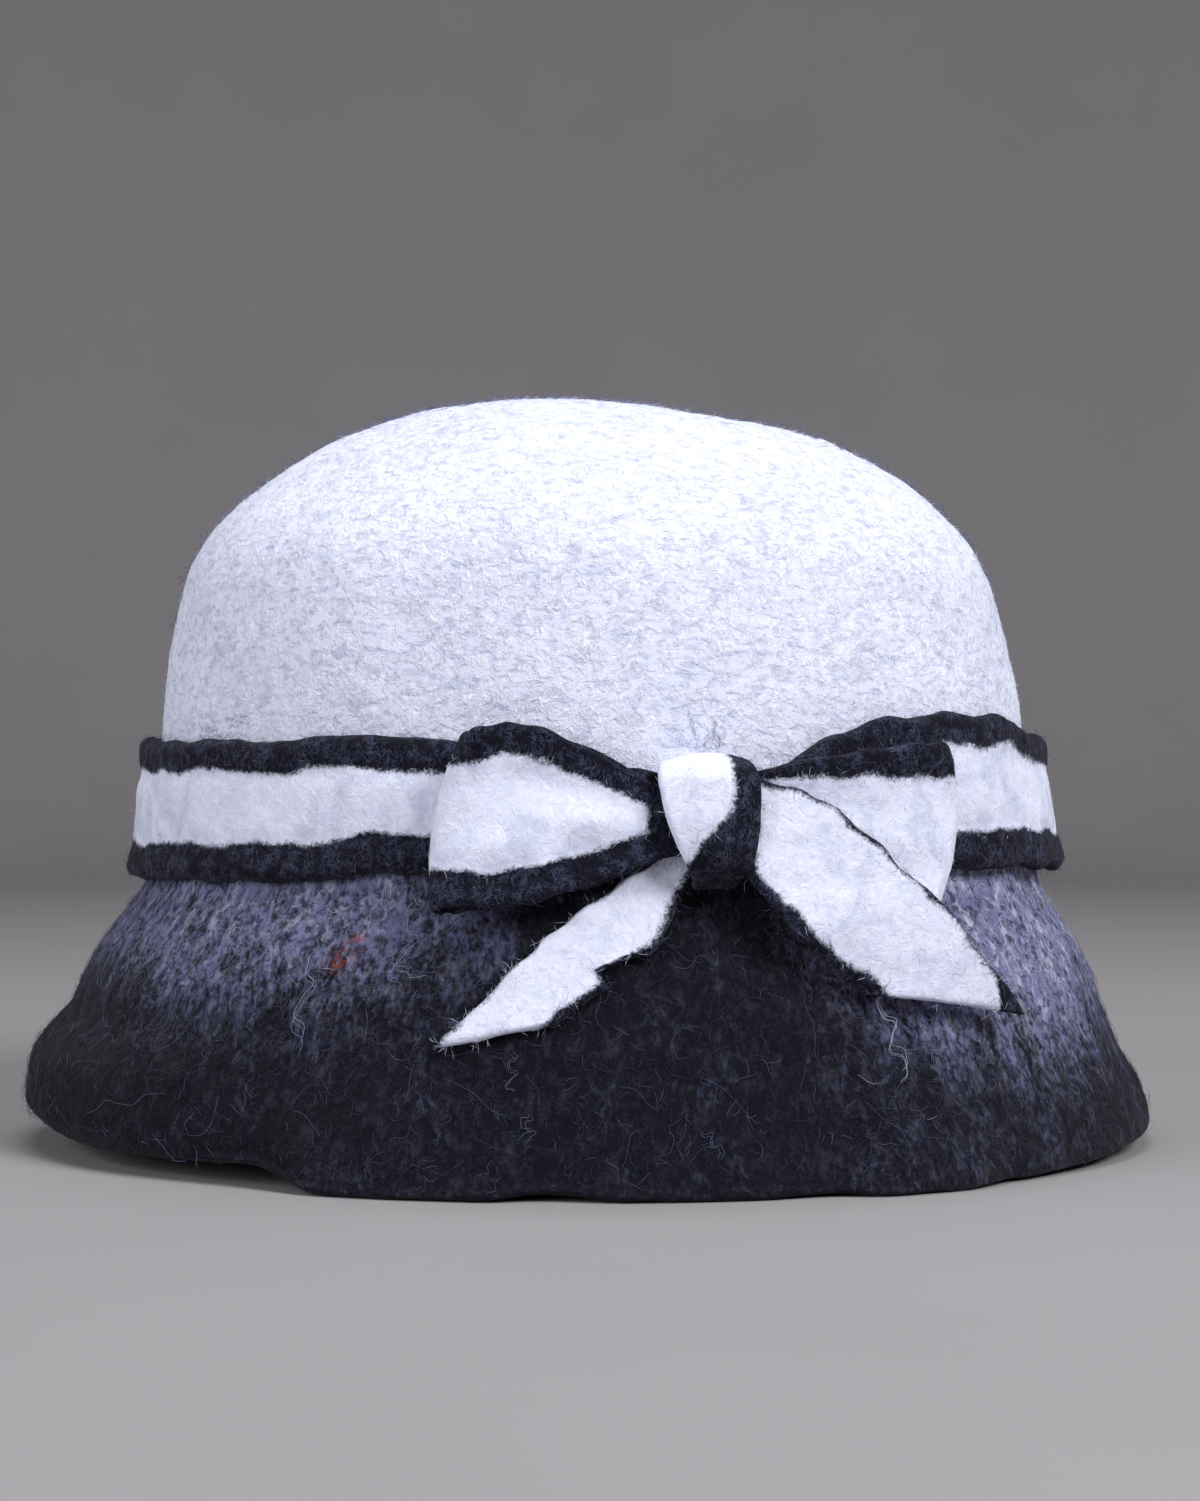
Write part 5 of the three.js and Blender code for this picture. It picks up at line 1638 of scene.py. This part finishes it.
class CLOCHE_OT_nap(bpy.types.Operator):
    """Adds the loose fibres that stand off the felt"""
    bl_idname = "cloche.nap"
    bl_label = "Loose fibres"

    def execute(self, context):
        shape = HatShape(context.scene)
        look = shape.look
        material = stock_material("Wool fibres", fibre_material, look)
        rng = np.random.default_rng(NAP_SEED)
        body = body_surface(shape)
        strips = {"felt_band": band_surface(shape), **bow_surfaces(shape)}
        sown = body["grid"].size // 3
        crown = body["values"]["crown"][:sown]
        heather = body["values"]["heather"][:sown]
        finish_piece(crown_nap(look, body, crown, rng), material, "body_felt")
        finish_piece(brim_nap(look, body, crown, heather, rng), material, "body_felt")
        finish_piece(strip_nap(look, strips, rng), material, "striped_felt")
        return {"FINISHED"}


class CLOCHE_OT_locks(bpy.types.Operator):
    """Adds curled locks, long hairs on the brim, and dark fibres along the crest of the crown"""
    bl_idname = "cloche.locks"
    bl_label = "Locks and long hairs"

    def execute(self, context):
        shape = HatShape(context.scene)
        material = stock_material("Wool fibres", fibre_material, shape.look)
        rng = np.random.default_rng(LOCK_SEED)
        finish_piece(curled_locks(shape, rng), material, "body_felt")
        finish_piece(long_hairs(shape, rng), material, "body_felt")
        finish_piece(crest_hairs(shape.look, body_surface(shape), rng), material, "body_felt")
        return {"FINISHED"}


class CLOCHE_OT_stage(bpy.types.Operator):
    """Builds the floor, the lights and the camera"""
    bl_idname = "cloche.stage"
    bl_label = "Stage"

    def execute(self, context):
        scene = context.scene
        look = scene.felt_look
        points = backdrop_points(STAGE_RADIUS, STAGE_HEIGHT, STAGE_BEND)
        rows, columns = points.shape[:2]
        faces = grid_faces(rows, columns, False, True)
        floor = make_mesh("floor", points, [faces], {})
        normals = grid_normals(points, False, True)
        if normals[0, 0, 2] < 0:
            floor.data.flip_normals()
        floor.data.materials.append(stock_material("Stage", stage_material, look))
        for light in LIGHTS:
            soft_light(*light)
        soft_world(scene)
        photo_camera(scene)
        return {"FINISHED"}


class CLOCHE_PT_panel(bpy.types.Panel):
    """Sizes, colours and makers of the hat"""
    bl_idname = "CLOCHE_PT_panel"
    bl_label = "Cloche hat"
    bl_space_type = "VIEW_3D"
    bl_region_type = "UI"
    bl_category = "Cloche hat"

    def draw(self, context):
        for group in (context.scene.hat_sizes, context.scene.band_sizes, context.scene.bow_sizes,
                      context.scene.felt_look):
            box = self.layout.box()
            for key in group.__annotations__:
                box.prop(group, key)
        for maker in MAKERS:
            self.layout.operator(maker.bl_idname)


MAKERS = (CLOCHE_OT_body, CLOCHE_OT_band, CLOCHE_OT_bow, CLOCHE_OT_nap, CLOCHE_OT_locks, CLOCHE_OT_stage)
GROUPS = {"hat_sizes": HatSizes, "band_sizes": BandSizes, "bow_sizes": BowSizes, "felt_look": FeltLook}


def register():
    """Makes the sizes, makers and panel known to Blender."""
    for name, group in GROUPS.items():
        bpy.utils.register_class(group)
        setattr(bpy.types.Scene, name, bpy.props.PointerProperty(type=group))
    for kind in (*MAKERS, CLOCHE_PT_panel):
        bpy.utils.register_class(kind)


def unregister():
    """Takes them away again."""
    for kind in (CLOCHE_PT_panel, *reversed(MAKERS)):
        bpy.utils.unregister_class(kind)
    for name, group in GROUPS.items():
        delattr(bpy.types.Scene, name)
        bpy.utils.unregister_class(group)


def main():
    """Builds the whole hat in order."""
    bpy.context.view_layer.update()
    register()
    bpy.ops.cloche.body()
    bpy.ops.cloche.band()
    bpy.ops.cloche.bow()
    bpy.ops.cloche.nap()
    bpy.ops.cloche.locks()
    bpy.ops.cloche.stage()


if __name__ == "__main__":
    main()
